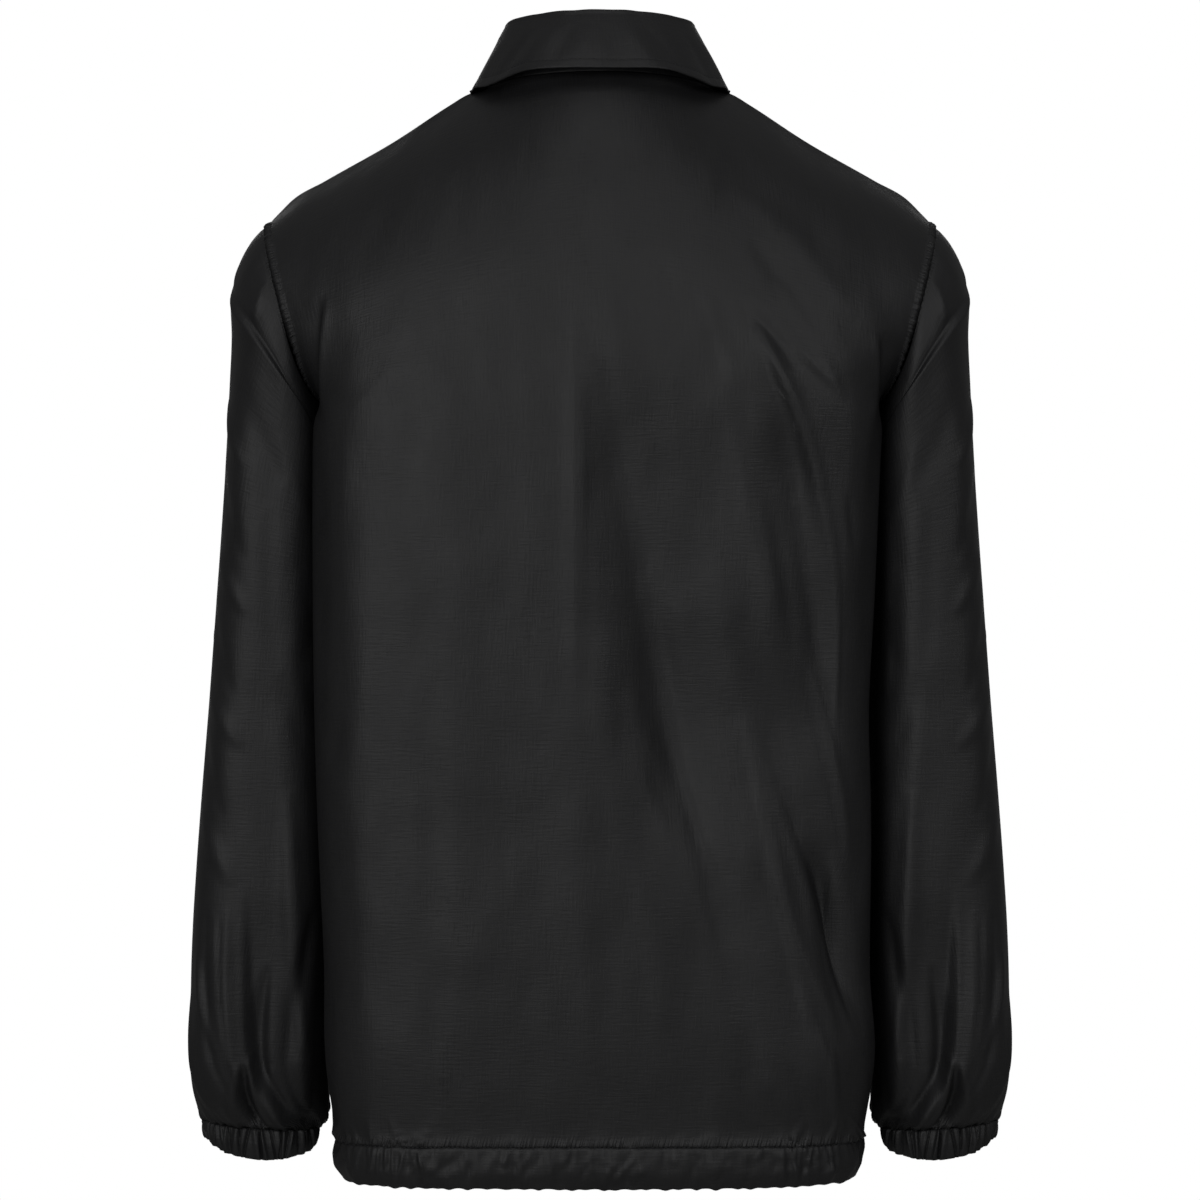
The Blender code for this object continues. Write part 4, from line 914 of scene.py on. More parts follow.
def shell_mesh(name, outer, normals, wall, uv, closed=False):
    """A thin closed shell: a fine outer face and, a wall's thickness in, a face half as fine.

    The grid runs in rows; closed joins its last column to its first. uv has a column more than a
    closed grid, so that the map runs on across the join.
    """
    rows, columns = outer.shape[:2]
    inner_grid = outer[::2, ::2] - wall * normals[::2, ::2]
    inner_rows, inner_columns = inner_grid.shape[:2]
    points = np.concatenate([outer.reshape(-1, 3), inner_grid.reshape(-1, 3)])
    base = rows * columns
    inner_uv = uv[::2, ::2]
    faces, corner_uv = [], []

    def quads(count_rows, count_columns, start, coordinates, flipped):
        last = count_columns if closed else count_columns - 1
        row, column = np.meshgrid(np.arange(count_rows - 1), np.arange(last), indexing="ij")
        after = (column + 1) % count_columns
        corners = [(row, column, column), (row, after, column + 1), (row + 1, after, column + 1),
                   (row + 1, column, column)]
        if flipped:
            corners = corners[::-1]
        index = np.stack([start + r * count_columns + c for r, c, _ in corners], axis=-1)
        places = np.stack([coordinates[r, u] for r, _, u in corners], axis=-2)
        faces.extend(index.reshape(-1, 4).tolist())
        corner_uv.append(places.reshape(-1, uv.shape[-1]))

    quads(rows, columns, 0, uv, False)
    quads(inner_rows, inner_columns, base, inner_uv, True)

    def strip(fine, fine_uv, coarse, coarse_uv, flipped):
        for step in range(len(coarse) - 1):
            a0, a1, a2 = fine[2 * step:2 * step + 3]
            b0, b1 = coarse[step:step + 2]
            u0, u1, u2 = fine_uv[2 * step:2 * step + 3]
            v0, v1 = coarse_uv[step:step + 2]
            for triangle, places in (((a0, b0, a1), (u0, v0, u1)), ((a1, b0, b1), (u1, v0, v1)),
                                     ((a1, b1, a2), (u1, v1, u2))):
                faces.append(triangle[::-1] if flipped else triangle)
                corner_uv.append(np.array(places[::-1] if flipped else places))

    def row_chain(row, count_columns, start):
        chain = [start + row * count_columns + column for column in range(count_columns)]
        return chain + chain[:1] if closed else chain

    foot, inner_foot = rows - 1, inner_rows - 1
    strip(row_chain(0, columns, 0), uv[0], row_chain(0, inner_columns, base), inner_uv[0], False)
    strip(row_chain(foot, columns, 0), uv[foot],
          row_chain(inner_foot, inner_columns, base), inner_uv[inner_foot], True)
    if not closed:
        for column, inner_column, flipped in ((0, 0, True), (columns - 1, inner_columns - 1, False)):
            fine = [row * columns + column for row in range(rows)]
            coarse = [base + row * inner_columns + inner_column for row in range(inner_rows)]
            strip(fine, uv[:, column], coarse, inner_uv[:, inner_column], flipped)
    mesh = bpy.data.meshes.new(name)
    mesh.from_pydata(points.tolist(), [], faces)
    with_uv(mesh, np.concatenate(corner_uv))
    turn_outward(mesh)
    return mesh


def section_mesh(name, rings, uv, joined=False):
    """A closed wall from rings of points round its section, one after the other along the piece.

    joined makes the last ring meet the first; otherwise both ends are closed with a face.
    """
    count, size = rings.shape[:2]
    points = rings.reshape(-1, 3)
    last = count if joined else count - 1
    row, column = np.meshgrid(np.arange(last), np.arange(size), indexing="ij")
    corners = [(row, column), (row, column + 1), (row + 1, column + 1), (row + 1, column)]
    index = np.stack([(r % count) * size + c % size for r, c in corners], axis=-1)
    places = np.stack([uv[r, c] for r, c in corners], axis=-2)
    faces = index.reshape(-1, 4).tolist()
    corner_uv = [places.reshape(-1, uv.shape[-1])]
    if not joined:
        for row_number, order in ((0, range(size)), (count - 1, range(size - 1, -1, -1))):
            faces.append([row_number * size + step for step in order])
            corner_uv.append(np.array([uv[row_number, step] for step in order]))
    mesh = bpy.data.meshes.new(name)
    mesh.from_pydata(points.tolist(), [], faces)
    with_uv(mesh, np.concatenate(corner_uv))
    turn_outward(mesh)
    return mesh


def turn_outward(mesh):
    """Flip a closed mesh whose faces point inwards, which its signed volume tells."""
    mesh.calc_loop_triangles()
    corners = np.zeros(len(mesh.loop_triangles) * 3, dtype=np.int32)
    mesh.loop_triangles.foreach_get("vertices", corners)
    places = np.zeros(len(mesh.vertices) * 3)
    mesh.vertices.foreach_get("co", places)
    a, b, c = places.reshape(-1, 3)[corners].reshape(-1, 3, 3).transpose(1, 0, 2)
    if np.sum(a * np.cross(b, c)) < 0.0:
        mesh.flip_normals()


def grid_uv(grid, closed=False):
    """A map in metres: along each row from its middle, and down the middle column."""
    if closed:
        grid = np.concatenate([grid, grid[:, :1]], axis=1)
    across = edge_distance(grid, "first")
    down = row_distance(grid, "first")
    middle = grid.shape[1] // 2
    u = across - across[:, middle:middle + 1]
    v = np.broadcast_to(down[:, middle:middle + 1], u.shape)
    return np.stack([u, v], axis=-1)


def seam_map(*seams):
    """A map of the nearest seam: the run along it, and 1 on it down to 0 away from it.

    Each seam is the run and the distance at every grid point, and how far its puckers reach.
    """
    run, distance, reach = seams[0]
    best_run, best_near = np.broadcast_to(run, distance.shape), np.exp(-((distance / reach) ** 2))
    for run, distance, reach in seams[1:]:
        near = np.exp(-((distance / reach) ** 2))
        best_run = np.where(near > best_near, run, best_run)
        best_near = np.maximum(near, best_near)
    return np.stack([best_run, best_near], axis=-1)


def linear(hex_code):
    """An sRGB hex colour as linear RGBA."""
    channels = [int(hex_code[i:i + 2], 16) / 255.0 for i in (1, 3, 5)]
    return [c / 12.92 if c <= 0.04045 else ((c + 0.055) / 1.055) ** 2.4 for c in channels] + [1.0]


def node(tree, kind, settings=None, **links):
    """Add a node with its settings, and link or set its inputs: an input is its name or its number."""
    made = tree.nodes.new(kind)
    for name, value in (settings or {}).items():
        setattr(made, name, value)
    for name, value in links.items():
        key = int(name[1:]) if name[0] == "i" and name[1:].isdigit() else name.replace("_", " ")
        socket = made.inputs[key]
        if isinstance(value, bpy.types.NodeSocket):
            tree.links.new(value, socket)
        else:
            socket.default_value = value
    return made


def maths(tree, operation, *values):
    """The result of a math node on numbers or sockets."""
    inputs = {"i" + str(number): value for number, value in enumerate(values)}
    return node(tree, "ShaderNodeMath", {"operation": operation}, **inputs).outputs[0]


def new_finish(name):
    """A new material with its node tree and its shader."""
    material = bpy.data.materials.new(name)
    material.use_nodes = True
    return material, material.node_tree, material.node_tree.nodes["Principled BSDF"]


def toned(tree, shader, factor, hex_code, dark, light):
    """Colour a shader between a darker and a lighter share of a colour."""
    shades = [[channel * share for channel in linear(hex_code)[:3]] + [1.0] for share in (dark, light)]
    colour = node(tree, "ShaderNodeMix", {"data_type": "RGBA"}, i0=factor, i6=shades[0], i7=shades[1])
    tree.links.new(colour.outputs[2], shader.inputs["Base Color"])


def ranged(tree, shader, socket, factor, low, high):
    """Set a shader's socket between two values, as a pattern runs from 0.3 to 0.7."""
    reading = node(tree, "ShaderNodeMapRange", i0=factor, i1=0.3, i2=0.7, i3=low, i4=high)
    tree.links.new(reading.outputs[0], shader.inputs[socket])


def relief(tree, height, distance, under=None, strength=1.0):
    """Bump of a pattern with its depth in metres, over the bump that is given."""
    below = {} if under is None else {"Normal": under}
    return node(tree, "ShaderNodeBump", Strength=strength, Distance=distance, Height=height,
                **below).outputs[0]


# Nylon taffeta: filament yarns in a plain weave, calendered. It is near black with a soft broad
# sheen. Its real threads are 0.14 mm apart, too fine to show, so they are drawn 1.5 mm apart.
THREAD_DRAWN = 0.0015
SLUB_LENGTH = 0.014
CLOUD_WIDTH = 0.028
CRINKLE_WIDTH = 0.012
CRINKLE_LENGTH = 0.060
BILLOW_WIDTH = 0.045
BILLOW_LENGTH = 0.080
PUCKER_LENGTH = 0.0019


def taffeta(name, hex_code):
    """Woven nylon: slubs both ways and a faint cloudiness as tone, and crinkles, broad soft billows and
    the puckers beside the seams as bump, all in the cloth's own maps in metres."""
    material, tree, shader = new_finish(name)
    cloth_map = node(tree, "ShaderNodeUVMap", {"uv_map": "cloth"}).outputs["UV"]

    def yarns(width, length, detail):
        stretched = node(tree, "ShaderNodeMapping", i0=cloth_map, i3=(1.0 / width, 1.0 / length, 1.0))
        return node(tree, "ShaderNodeTexNoise", {"noise_dimensions": "2D"}, Vector=stretched.outputs[0],
                    Scale=1.0, Detail=detail, Roughness=0.55).outputs["Fac"]

    warp = yarns(THREAD_DRAWN, SLUB_LENGTH, 1.0)
    weft = yarns(SLUB_LENGTH, THREAD_DRAWN, 1.0)
    cloud = yarns(CLOUD_WIDTH, CRINKLE_LENGTH, 4.0)
    crinkle = yarns(CRINKLE_WIDTH, CRINKLE_LENGTH / 2.0, 2.0)
    billow = yarns(BILLOW_WIDTH, BILLOW_LENGTH, 1.0)
    weave = maths(tree, "ADD", warp, weft)
    tone = maths(tree, "MULTIPLY_ADD", cloud, 0.70, maths(tree, "MULTIPLY_ADD", weave, 0.35, 0.15))
    toned(tree, shader, tone, hex_code, 0.72, 1.28)
    ranged(tree, shader, "Roughness", cloud, 0.50, 0.56)
    ranged(tree, shader, "Specular IOR Level", tone, 0.22, 0.38)
    seam = node(tree, "ShaderNodeUVMap", {"uv_map": "seam"}).outputs["UV"]
    parts = node(tree, "ShaderNodeSeparateXYZ", Vector=seam).outputs
    run = maths(tree, "MULTIPLY", parts[0], 1.0 / PUCKER_LENGTH)
    pucker = node(tree, "ShaderNodeTexNoise", {"noise_dimensions": "1D"}, W=run, Scale=1.0,
                  Detail=1.0).outputs["Fac"]
    drawn = maths(tree, "MULTIPLY", pucker, parts[1])
    bump = relief(tree, weave, 0.00014)
    for pattern, depth in ((crinkle, 0.00022), (billow, 0.0030), (drawn, 0.0016)):
        bump = relief(tree, pattern, depth, bump)
    tree.links.new(bump, shader.inputs["Normal"])
    shader.inputs["IOR"].default_value = 1.53
    return material


def thread_finish(name, hex_code):
    """Spun polyester sewing thread: matt, a little lighter than the cloth, with its twist as bump."""
    material, tree, shader = new_finish(name)
    place = node(tree, "ShaderNodeTexCoord").outputs["Object"]
    twist = node(tree, "ShaderNodeTexNoise", Vector=place, Scale=2500.0, Detail=1.0).outputs["Fac"]
    toned(tree, shader, twist, hex_code, 0.8, 1.0)
    tree.links.new(relief(tree, twist, 0.00008, strength=0.6), shader.inputs["Normal"])
    shader.inputs["Roughness"].default_value = 0.62
    return material


def moulded_acetal(name, hex_code):
    """Moulded acetal snap cap: smooth satin black plastic with a faint mould grain."""
    material, tree, shader = new_finish(name)
    place = node(tree, "ShaderNodeTexCoord").outputs["Object"]
    grain = node(tree, "ShaderNodeTexNoise", Vector=place, Scale=1400.0, Detail=2.0).outputs["Fac"]
    toned(tree, shader, grain, hex_code, 0.85, 1.0)
    ranged(tree, shader, "Roughness", grain, 0.26, 0.36)
    tree.links.new(relief(tree, grain, 0.00003, strength=0.3), shader.inputs["Normal"])
    shader.inputs["IOR"].default_value = 1.48
    return material


def floor_paint(name):
    """Matt floor paint, which the camera sees lit evenly white and the jacket gets little light from."""
    material, tree, shader = new_finish(name)
    shader.inputs["Base Color"].default_value = linear("#a8a8a6")
    shader.inputs["Roughness"].default_value = 0.95
    shader.inputs["Emission Color"].default_value = linear("#ffffff")
    path = node(tree, "ShaderNodeLightPath")
    glow = maths(tree, "MULTIPLY", path.outputs["Is Camera Ray"], 0.72)
    tree.links.new(glow, shader.inputs["Emission Strength"])
    return material


def finish_named(name, make, hex_code):
    """The material of that name, made once."""
    return bpy.data.materials.get(name) or make(name, hex_code)


def dress(piece, nodes):
    """Tie a finished piece to its body in the frame, and hide the solids that it stands for."""
    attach(piece, BODY)
    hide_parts(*nodes)


class WindbreakerSettings(bpy.types.PropertyGroup):
    """Sizes and colours that a user would change."""

    cloth_wall: bpy.props.FloatProperty(
        name="Cloth thickness", description="Thickness of the shell's wall", default=0.0008,
        min=0.0002, max=0.002, unit="LENGTH")
    stitch_pitch: bpy.props.FloatProperty(
        name="Stitch pitch", description="Distance from one stitch to the next", default=0.0030,
        min=0.001, max=0.006, unit="LENGTH")
    stitch_length: bpy.props.FloatProperty(
        name="Stitch length", description="Length of thread that shows in one stitch", default=0.0023,
        min=0.0005, max=0.006, unit="LENGTH")
    thread_radius: bpy.props.FloatProperty(
        name="Thread radius", description="Half the thickness of the sewing thread", default=0.00022,
        min=0.0001, max=0.0006, unit="LENGTH")
    cloth_hex: bpy.props.StringProperty(
        name="Cloth colour", description="Colour of the taffeta as an sRGB hex code", default="#1c1c1d")
    thread_hex: bpy.props.StringProperty(
        name="Thread colour", description="Colour of the thread as an sRGB hex code", default="#2c2c2e")
    snap_hex: bpy.props.StringProperty(
        name="Snap colour", description="Colour of the snap caps as an sRGB hex code", default="#161617")
    floor_drop: bpy.props.FloatProperty(
        name="Floor level", description="How far the floor lies below the neck", default=1.45,
        min=0.8, max=2.0, unit="LENGTH")


def settings():
    """The scene's windbreaker settings."""
    return bpy.context.scene.windbreaker


def cloth():
    """The taffeta of every cloth piece."""
    return finish_named("nylon_taffeta_calendered", taffeta, settings().cloth_hex)


def body_seam_map(face):
    """Puckers of the back or the fronts: beside the armholes and above the hem casing."""
    plain, _, _ = body_face(face)
    seams = [(edge_distance(plain, "first"), row_distance(plain, "last"), HEM_PUCKERS)]
    down = np.arange(len(plain))[:, None]
    for edge, column in (("first", 0), ("last", -1)):
        run = np.broadcast_to(travelled(plain[:, column])[:, None], plain.shape[:2])
        away = edge_distance(plain, edge) + np.maximum(0, down - ARMHOLE_ROWS) * 0.002
        seams.append((run, np.abs(away - BAND_MIDDLE), BAND_PUCKERS))
    return seam_map(*seams)


class WINDBREAKER_OT_body(bpy.types.Operator):
    """Build the back and the two fronts"""

    bl_idname = "windbreaker.body"
    bl_label = "Back and fronts"

    def execute(self, context):
        (back, back_normals), (front, front_normals) = body_faces()
        wall = settings().cloth_wall
        middle = NECK_COLUMNS + SHOULDER_COLUMNS
        uv = np.concatenate([grid_uv(back), body_seam_map("back")], axis=-1)
        piece = new_object("back_cloth", shell_mesh("back", back, back_normals, wall, uv), cloth())
        dress(piece, ["back_panel"])
        uv = np.concatenate([grid_uv(front), body_seam_map("front")], axis=-1)
        for side, columns in (("right", slice(0, middle + 1)), ("left", slice(middle, None))):
            name = "front_" + side + "_cloth"
            mesh = shell_mesh(name, front[:, columns], front_normals[:, columns], wall, uv[:, columns])
            piece = new_object(name, mesh, cloth())
            dress(piece, ["front_" + side])
        return {"FINISHED"}


class WINDBREAKER_OT_sleeves(bpy.types.Operator):
    """Build the two sleeves"""

    bl_idname = "windbreaker.sleeves"
    bl_label = "Sleeves"

    def execute(self, context):
        grid, normals = sleeve_form()
        wall = settings().cloth_wall
        closed = np.concatenate([grid, grid[:, :1]], axis=1)
        around = edge_distance(closed, "first")
        sewn = seam_map((around, row_distance(closed, "last"), CUFF_PUCKERS),
                        (around, row_distance(closed, "first"), ARMHOLE_PUCKERS))
        uv = np.concatenate([grid_uv(grid, closed=True), sewn], axis=-1)
        for side, mirror in (("left", 1.0), ("right", -1.0)):
            turn = np.array([mirror, 1.0, 1.0])
            name = "sleeve_" + side + "_cloth"
            mesh = shell_mesh(name, grid * turn, normals * turn, wall, uv, closed=True)
            piece = new_object(name, mesh, cloth())
            dress(piece, ["sleeve_" + side])
        return {"FINISHED"}


# The cuff down its height: the middle of its section in X, and its half width and half depth
CUFF_SECTION = table(
    "share middle half_width half_depth",
    (0.0, 0.2339, 0.0380, 0.0388),
    (0.5, 0.2340, 0.0368, 0.0385),
    (1.0, 0.2338, 0.0352, 0.0365),
)
CUFF_GIRTH = 0.240
CUFF_SWELL = 0.0011
CUFF_THICKNESS = 0.0020
CUFF_OUTER_STEPS = 15
CUFF_INNER_STEPS = 7

# Ridges round the cuff and the narrow valleys between them, with the columns of the hem's gathers
CUFF_GATHERS = (
    (21, 0.0, CUFF_GIRTH, 0.0064, 0.0017, 0.0030, 0.05, 0.25),
    (22, 0.0, CUFF_GIRTH, 0.0062, 0.0006, -0.0042, 0.03, 0.30),
)


def cuff_rings():
    """The left cuff's sections, round it: each ring runs down the outer face and back up inside."""
    angle = np.linspace(0.0, 2 * math.pi, CUFF_COLUMNS, endpoint=False)
    top = CUFF_TOP - SEAM_GAP + CUFF_SLANT * np.cos(angle)
    height = CUFF_HEIGHT + CUFF_DROP * np.abs(np.sin(angle)) ** 1.5
    run = angle / (2 * math.pi) * CUFF_GIRTH
    steps = (np.linspace(0.0, 1.0, CUFF_OUTER_STEPS), np.linspace(1.0, 0.0, CUFF_INNER_STEPS))
    share = np.concatenate(steps)
    outside = np.repeat([1.0, 0.0], [CUFF_OUTER_STEPS, CUFF_INNER_STEPS])
    middle, half_width, half_depth = (
        np.interp(share, CUFF_SECTION["share"], CUFF_SECTION[name]) for name in list(CUFF_SECTION)[1:]
    )
    swell = CUFF_SWELL * np.sin(np.pi * share) ** 0.6 * outside
    shape = (CUFF_COLUMNS, len(share))
    below = np.broadcast_to(share * (CUFF_HEIGHT + CUFF_DROP / 2), shape)
    folded = np.zeros(shape)
    for shift in (-CUFF_GIRTH, 0.0, CUFF_GIRTH):
        place = np.broadcast_to((run + shift)[:, None], shape)
        for ridges in CUFF_GATHERS:
            folded = folded + gathers(place, below, *ridges)
    rings = []
    for index in range(CUFF_COLUMNS):
        extra = swell + outside * folded[index] - (1.0 - outside) * CUFF_THICKNESS
        x = middle + (half_width + extra) * math.cos(angle[index])
        y = (half_depth + extra) * math.sin(angle[index])
        z = top[index] - share * height[index]
        z[-1] += SEAM_LAP
        rings.append(np.stack([x, y, z], axis=1))
    return np.array(rings)


def section_uv(rings, joined):
    """A map in metres for a piece of sections: along the piece, and round each section."""
    closed = np.concatenate([rings, rings[:, :1]], axis=1)
    if joined:
        closed = np.concatenate([closed, closed[:1]], axis=0)
    run = row_distance(closed, "first")[:, :1]
    return np.stack([np.broadcast_to(run, closed.shape[:2]), edge_distance(closed, "first")], axis=-1)


class WINDBREAKER_OT_cuffs(bpy.types.Operator):
    """Build the two elastic cuffs"""

    bl_idname = "windbreaker.cuffs"
    bl_label = "Cuffs"

    def execute(self, context):
        rings = cuff_rings()
        uv = section_uv(rings, True)
        for side, mirror in (("left", 1.0), ("right", -1.0)):
            name = "cuff_" + side + "_cloth"
            mesh = section_mesh(name, rings * np.array([mirror, 1.0, 1.0]), uv, joined=True)
            piece = new_object(name, mesh, cloth())
            dress(piece, ["cuff_" + side])
        return {"FINISHED"}


# Section of the hem casing: share of its height down the outer face, how far it swells out there
HEM_SECTION = table(
    "share swell",
    (0.00, -0.0002),
    (0.05, 0.0000),
    (0.16, 0.0000),
    (0.40, 0.0000),
    (0.65, -0.0006),
    (0.82, -0.0024),
    (0.93, -0.0038),
    (0.985, -0.0048),
    (1.00, -0.0058),
)


# Fine ripples over the whole hem casing and the uneven line of its lower edge, as rows of gathers
HEM_RIPPLES = (78, -0.184, 0.184, 0.0042, 0.0011, 0.0007, 0.006, 0.6)
HEM_SCALLOPS = (91, -0.18, 0.18, 0.011, 0.003, 0.0014, 1.0, 0.0)
HEM_THICKNESS = 0.0016


def hem_rings(face, side):
    """Half of the hem casing: sections from the centre to the side seam."""
    fractions = np.linspace(0.0, 1.0, HEM_COLUMNS // 2 + 1)
    base = body_section(face, side, 2.0, fractions)
    way = np.gradient(base, axis=0)
    out = unit(np.stack([-way[:, 1], way[:, 0], np.zeros(len(base))], axis=1))
    if face == "front":
        out = -out
    out[0] = (0.0, 1.0 if face == "back" else -1.0, 0.0)
    out[-1] = (1.0, 0.0, 0.0)
    steps = np.concatenate([np.linspace(0.0, 0.9, 13), [0.94, 0.97, 0.99, 1.0]])
    back_steps = np.array([0.99, 0.95, 0.6, 0.25, 0.0])
    swell = smooth_read(HEM_SECTION, "share", "swell", steps)
    if side == "right":
        base = base * np.array([-1.0, 1.0, 1.0])
        out = out * np.array([-1.0, 1.0, 1.0])
    top = HEM_LEVEL - SEAM_GAP
    height = top - HEM_BOTTOM
    bottom = HEM_BOTTOM + HEM_SIDE_LIFT * fractions**2
    full = beside_placket(base[:, 0]) if face == "front" else np.ones_like(fractions)
    x = np.broadcast_to(base[:, :1], (len(base), len(steps)))
    drop = np.broadcast_to(steps * height, x.shape)
    folded = hem_gather_height(face, x, drop * 0.45)
    dents = crumples(x, drop, seed=77, count=260, span=(-0.185, 0.185), levels=(-0.006, height),
                     length=0.015, width=0.0023, height=0.0011)
    folded = folded + dents * full[:, None]
    folded = folded + gathers(x, drop, *HEM_RIPPLES) * full[:, None]
    scallop = gathers(base[:, 0], np.zeros(len(base)), *HEM_SCALLOPS)
    rings = []
    for index in range(len(base)):
        extra = swell * full[index] + folded[index] * np.sin(np.pi * np.clip(steps, 0.05, 0.95)) ** 0.5
        outer = base[index] + out[index] * extra[:, None]
        low = bottom[index] - scallop[index] * full[index]
        outer[:, 2] = top - steps * (top - low)
        inner_swell = np.interp(back_steps, steps, swell * full[index]) - HEM_THICKNESS
        inner = base[index] + out[index] * inner_swell[:, None]
        inner[:, 2] = top - back_steps * (top - low)
        inner[-1, 2] += SEAM_LAP
        rings.append(np.concatenate([outer, inner]))
    return np.array(rings)


class WINDBREAKER_OT_hem(bpy.types.Operator):
    """Build the hem casing: one piece across the back and one on each front"""

    bl_idname = "windbreaker.hem"
    bl_label = "Hem casing"

    def execute(self, context):
        left, right = hem_rings("back", "left"), hem_rings("back", "right")
        pieces = [("hem_back", np.concatenate([right[::-1], left[1:]]), (0.440, 0.031))]
        pieces += [("hem_front_" + side, hem_rings("front", side), (0.225, 0.031))
                   for side in ("left", "right")]
        for node_name, rings, flat in pieces:
            mesh = section_mesh(node_name + "_cloth", rings, section_uv(rings, False))
            piece = new_object(node_name + "_cloth", mesh, cloth())
            dress(piece, [node_name])
        return {"FINISHED"}


def fold_line(turn):
    """Where the collar folds over, at each turn from the centre back, with its ways out and up."""
    back = np.cos(turn) > 0.0
    lean = np.abs(np.cos(turn))
    half_depth = np.where(back, COLLAR_BACK_DEPTH, COLLAR_FRONT_DEPTH)
    x = COLLAR_HALF_WIDTH * np.sin(turn)
    y = half_depth * np.cos(turn)
    z = COLLAR_LEVEL + np.where(back, COLLAR_BACK_RISE * lean**1.5, -COLLAR_FRONT_DROP * lean**1.8)
    line = np.stack([x, y, z], axis=1)
    out = unit(np.stack([x / COLLAR_HALF_WIDTH**2, y / half_depth**2, np.zeros_like(turn)], axis=1))
    up = np.cross(out, np.gradient(line, axis=0))
    return line, out, unit(up * np.sign(up[:, 2:]))


def kept_clear(points, distance):
    """Points moved out of the body's cloth where they lie nearer to it than a distance."""
    faces = body_faces()
    surface = np.concatenate([grid[:ROWS_UNDER_LEAF].reshape(-1, 3) for grid, _ in faces])[::2]
    normals = np.concatenate([ways[:ROWS_UNDER_LEAF].reshape(-1, 3) for _, ways in faces])[::2]
    tree = KDTree(len(surface))
    for index, place in enumerate(surface):
        tree.insert(place, index)
    tree.balance()
    moved = points.reshape(-1, 3).copy()
    for index, point in enumerate(moved):
        _, nearest, gap = tree.find(point)
        height = float(np.dot(point - surface[nearest], normals[nearest]))
        if height < distance and gap < 3.0 * distance:
            moved[index] = point + (distance - height) * normals[nearest]
    return moved.reshape(points.shape)


# The leaf's way from the top of the stand over the roll: out from the fold line and up
LEAF_ROLL = table(
    "out up",
    (-0.0010, 0.0016),
    (-0.0002, 0.0026),
    (0.0012, 0.0030),
    (0.0026, 0.0026),
    (0.0036, 0.0014),
    (0.0040, 0.0000),
)
LEAF_STEPS = 46
LEAF_FREE_STEPS = 8
LEAF_CLEARANCE = 0.0021
LEAF_WALL = 0.0015
ROWS_UNDER_LEAF = 120

# Soft folds across the leaf: place along its edge from the centre back, lean, half width and height
LEAF_FOLDS = table(
    "place lean width height",
    (-0.150, 0.012, 0.012, -0.0010),
    (-0.118, 0.010, 0.010, 0.0010),
    (-0.092, 0.008, 0.007, -0.0009),
    (-0.060, 0.020, 0.008, -0.0012),
    (-0.036, 0.010, 0.009, 0.0010),
    (-0.014, 0.003, 0.008, -0.0005),
    (0.012, -0.002, 0.009, 0.0007),
    (0.034, -0.008, 0.007, -0.0010),
    (0.056, -0.014, 0.010, 0.0011),
    (0.078, -0.016, 0.007, -0.0011),
    (0.108, -0.010, 0.010, 0.0010),
    (0.140, -0.012, 0.012, -0.0010),
)


@functools.lru_cache(maxsize=None)
def leaf_form():
    """The collar leaf's upper face: rows run from its roll to its edge, columns round the neck."""
    turn = np.radians(np.linspace(-COLLAR_OPENING_TURN, COLLAR_OPENING_TURN, COLLAR_COLUMNS + 1))
    fold, out, up = fold_line(turn)
    size = np.degrees(np.abs(turn))
    edge = np.stack([smooth_read(LEAF_EDGE, "turn", name, size) for name in "xyz"], axis=1)
    edge[:, 0] *= np.sign(turn)
    roll = [fold + out * reach + up * rise for reach, rise in zip(*LEAF_ROLL.values())]
    swell = (0.0004 + 0.0018 * np.cos(turn) ** 2)[:, None]
    hang = [roll[-1] + share * (edge - roll[-1]) + out * swell * math.sin(math.pi * share)
            for share in np.linspace(0.0, 1.0, LEAF_STEPS)[1:]]
    hang = np.array(hang)
    hang[LEAF_FREE_STEPS:] = smoothed(kept_clear(hang[LEAF_FREE_STEPS:], LEAF_CLEARANCE), 8)
    grid = np.concatenate([np.array(roll), hang])
    normals = outward(grid_normals(grid, False), grid, np.array([0.0, 0.0, -0.02]))
    from_edge = row_distance(grid, "last")
    run = np.broadcast_to(edge_distance(grid[-1:], "first"), from_edge.shape)
    pucker = gathers(run, from_edge, 41, 0.01, run[0, -1], 0.0062, 0.0018, 0.00028, 0.006, 0.4)
    height = stitch_valley(from_edge, COLLAR_STITCH) * 0.8 + pucker
    middle = run[0, -1] / 2.0
    rise = np.clip(from_edge, 0.0, 0.040) / 0.040
    for place, lean, width, tall in zip(*LEAF_FOLDS.values()):
        aside = (run - middle - place - lean * rise) / width
        height = height + tall * np.exp(-(aside**2)) * np.sin(np.pi * np.clip(rise, 0.02, 0.98)) ** 0.6
    return grid + height[..., None] * normals, normals


# The stand: columns of a quarter of it, rows, the share of its height that it runs on below the neck
# seam, so that no light shows through, its wall, and the columns left off at the centre front
STAND_COLUMNS = 60
STAND_STEPS = 22
STAND_LAP = 0.03
STAND_WALL = 0.0014
STAND_ENDS = slice(2, -2)


def rounded_section(outer, normals, wall):
    """Rings of a wall whose lower edge is rounded: down the outer face and up the inner one."""
    rings = []
    for column in range(outer.shape[1]):
        face = outer[:, column]
        back = face - wall * normals[:, column]
        last_way = unit(face[-1] - face[-2])
        tip = (face[-1] + back[-1]) / 2 + last_way * wall * 0.45
        rings.append(np.concatenate([face, [tip], back[::-3][:-1], back[:1]]))
    return np.array(rings)


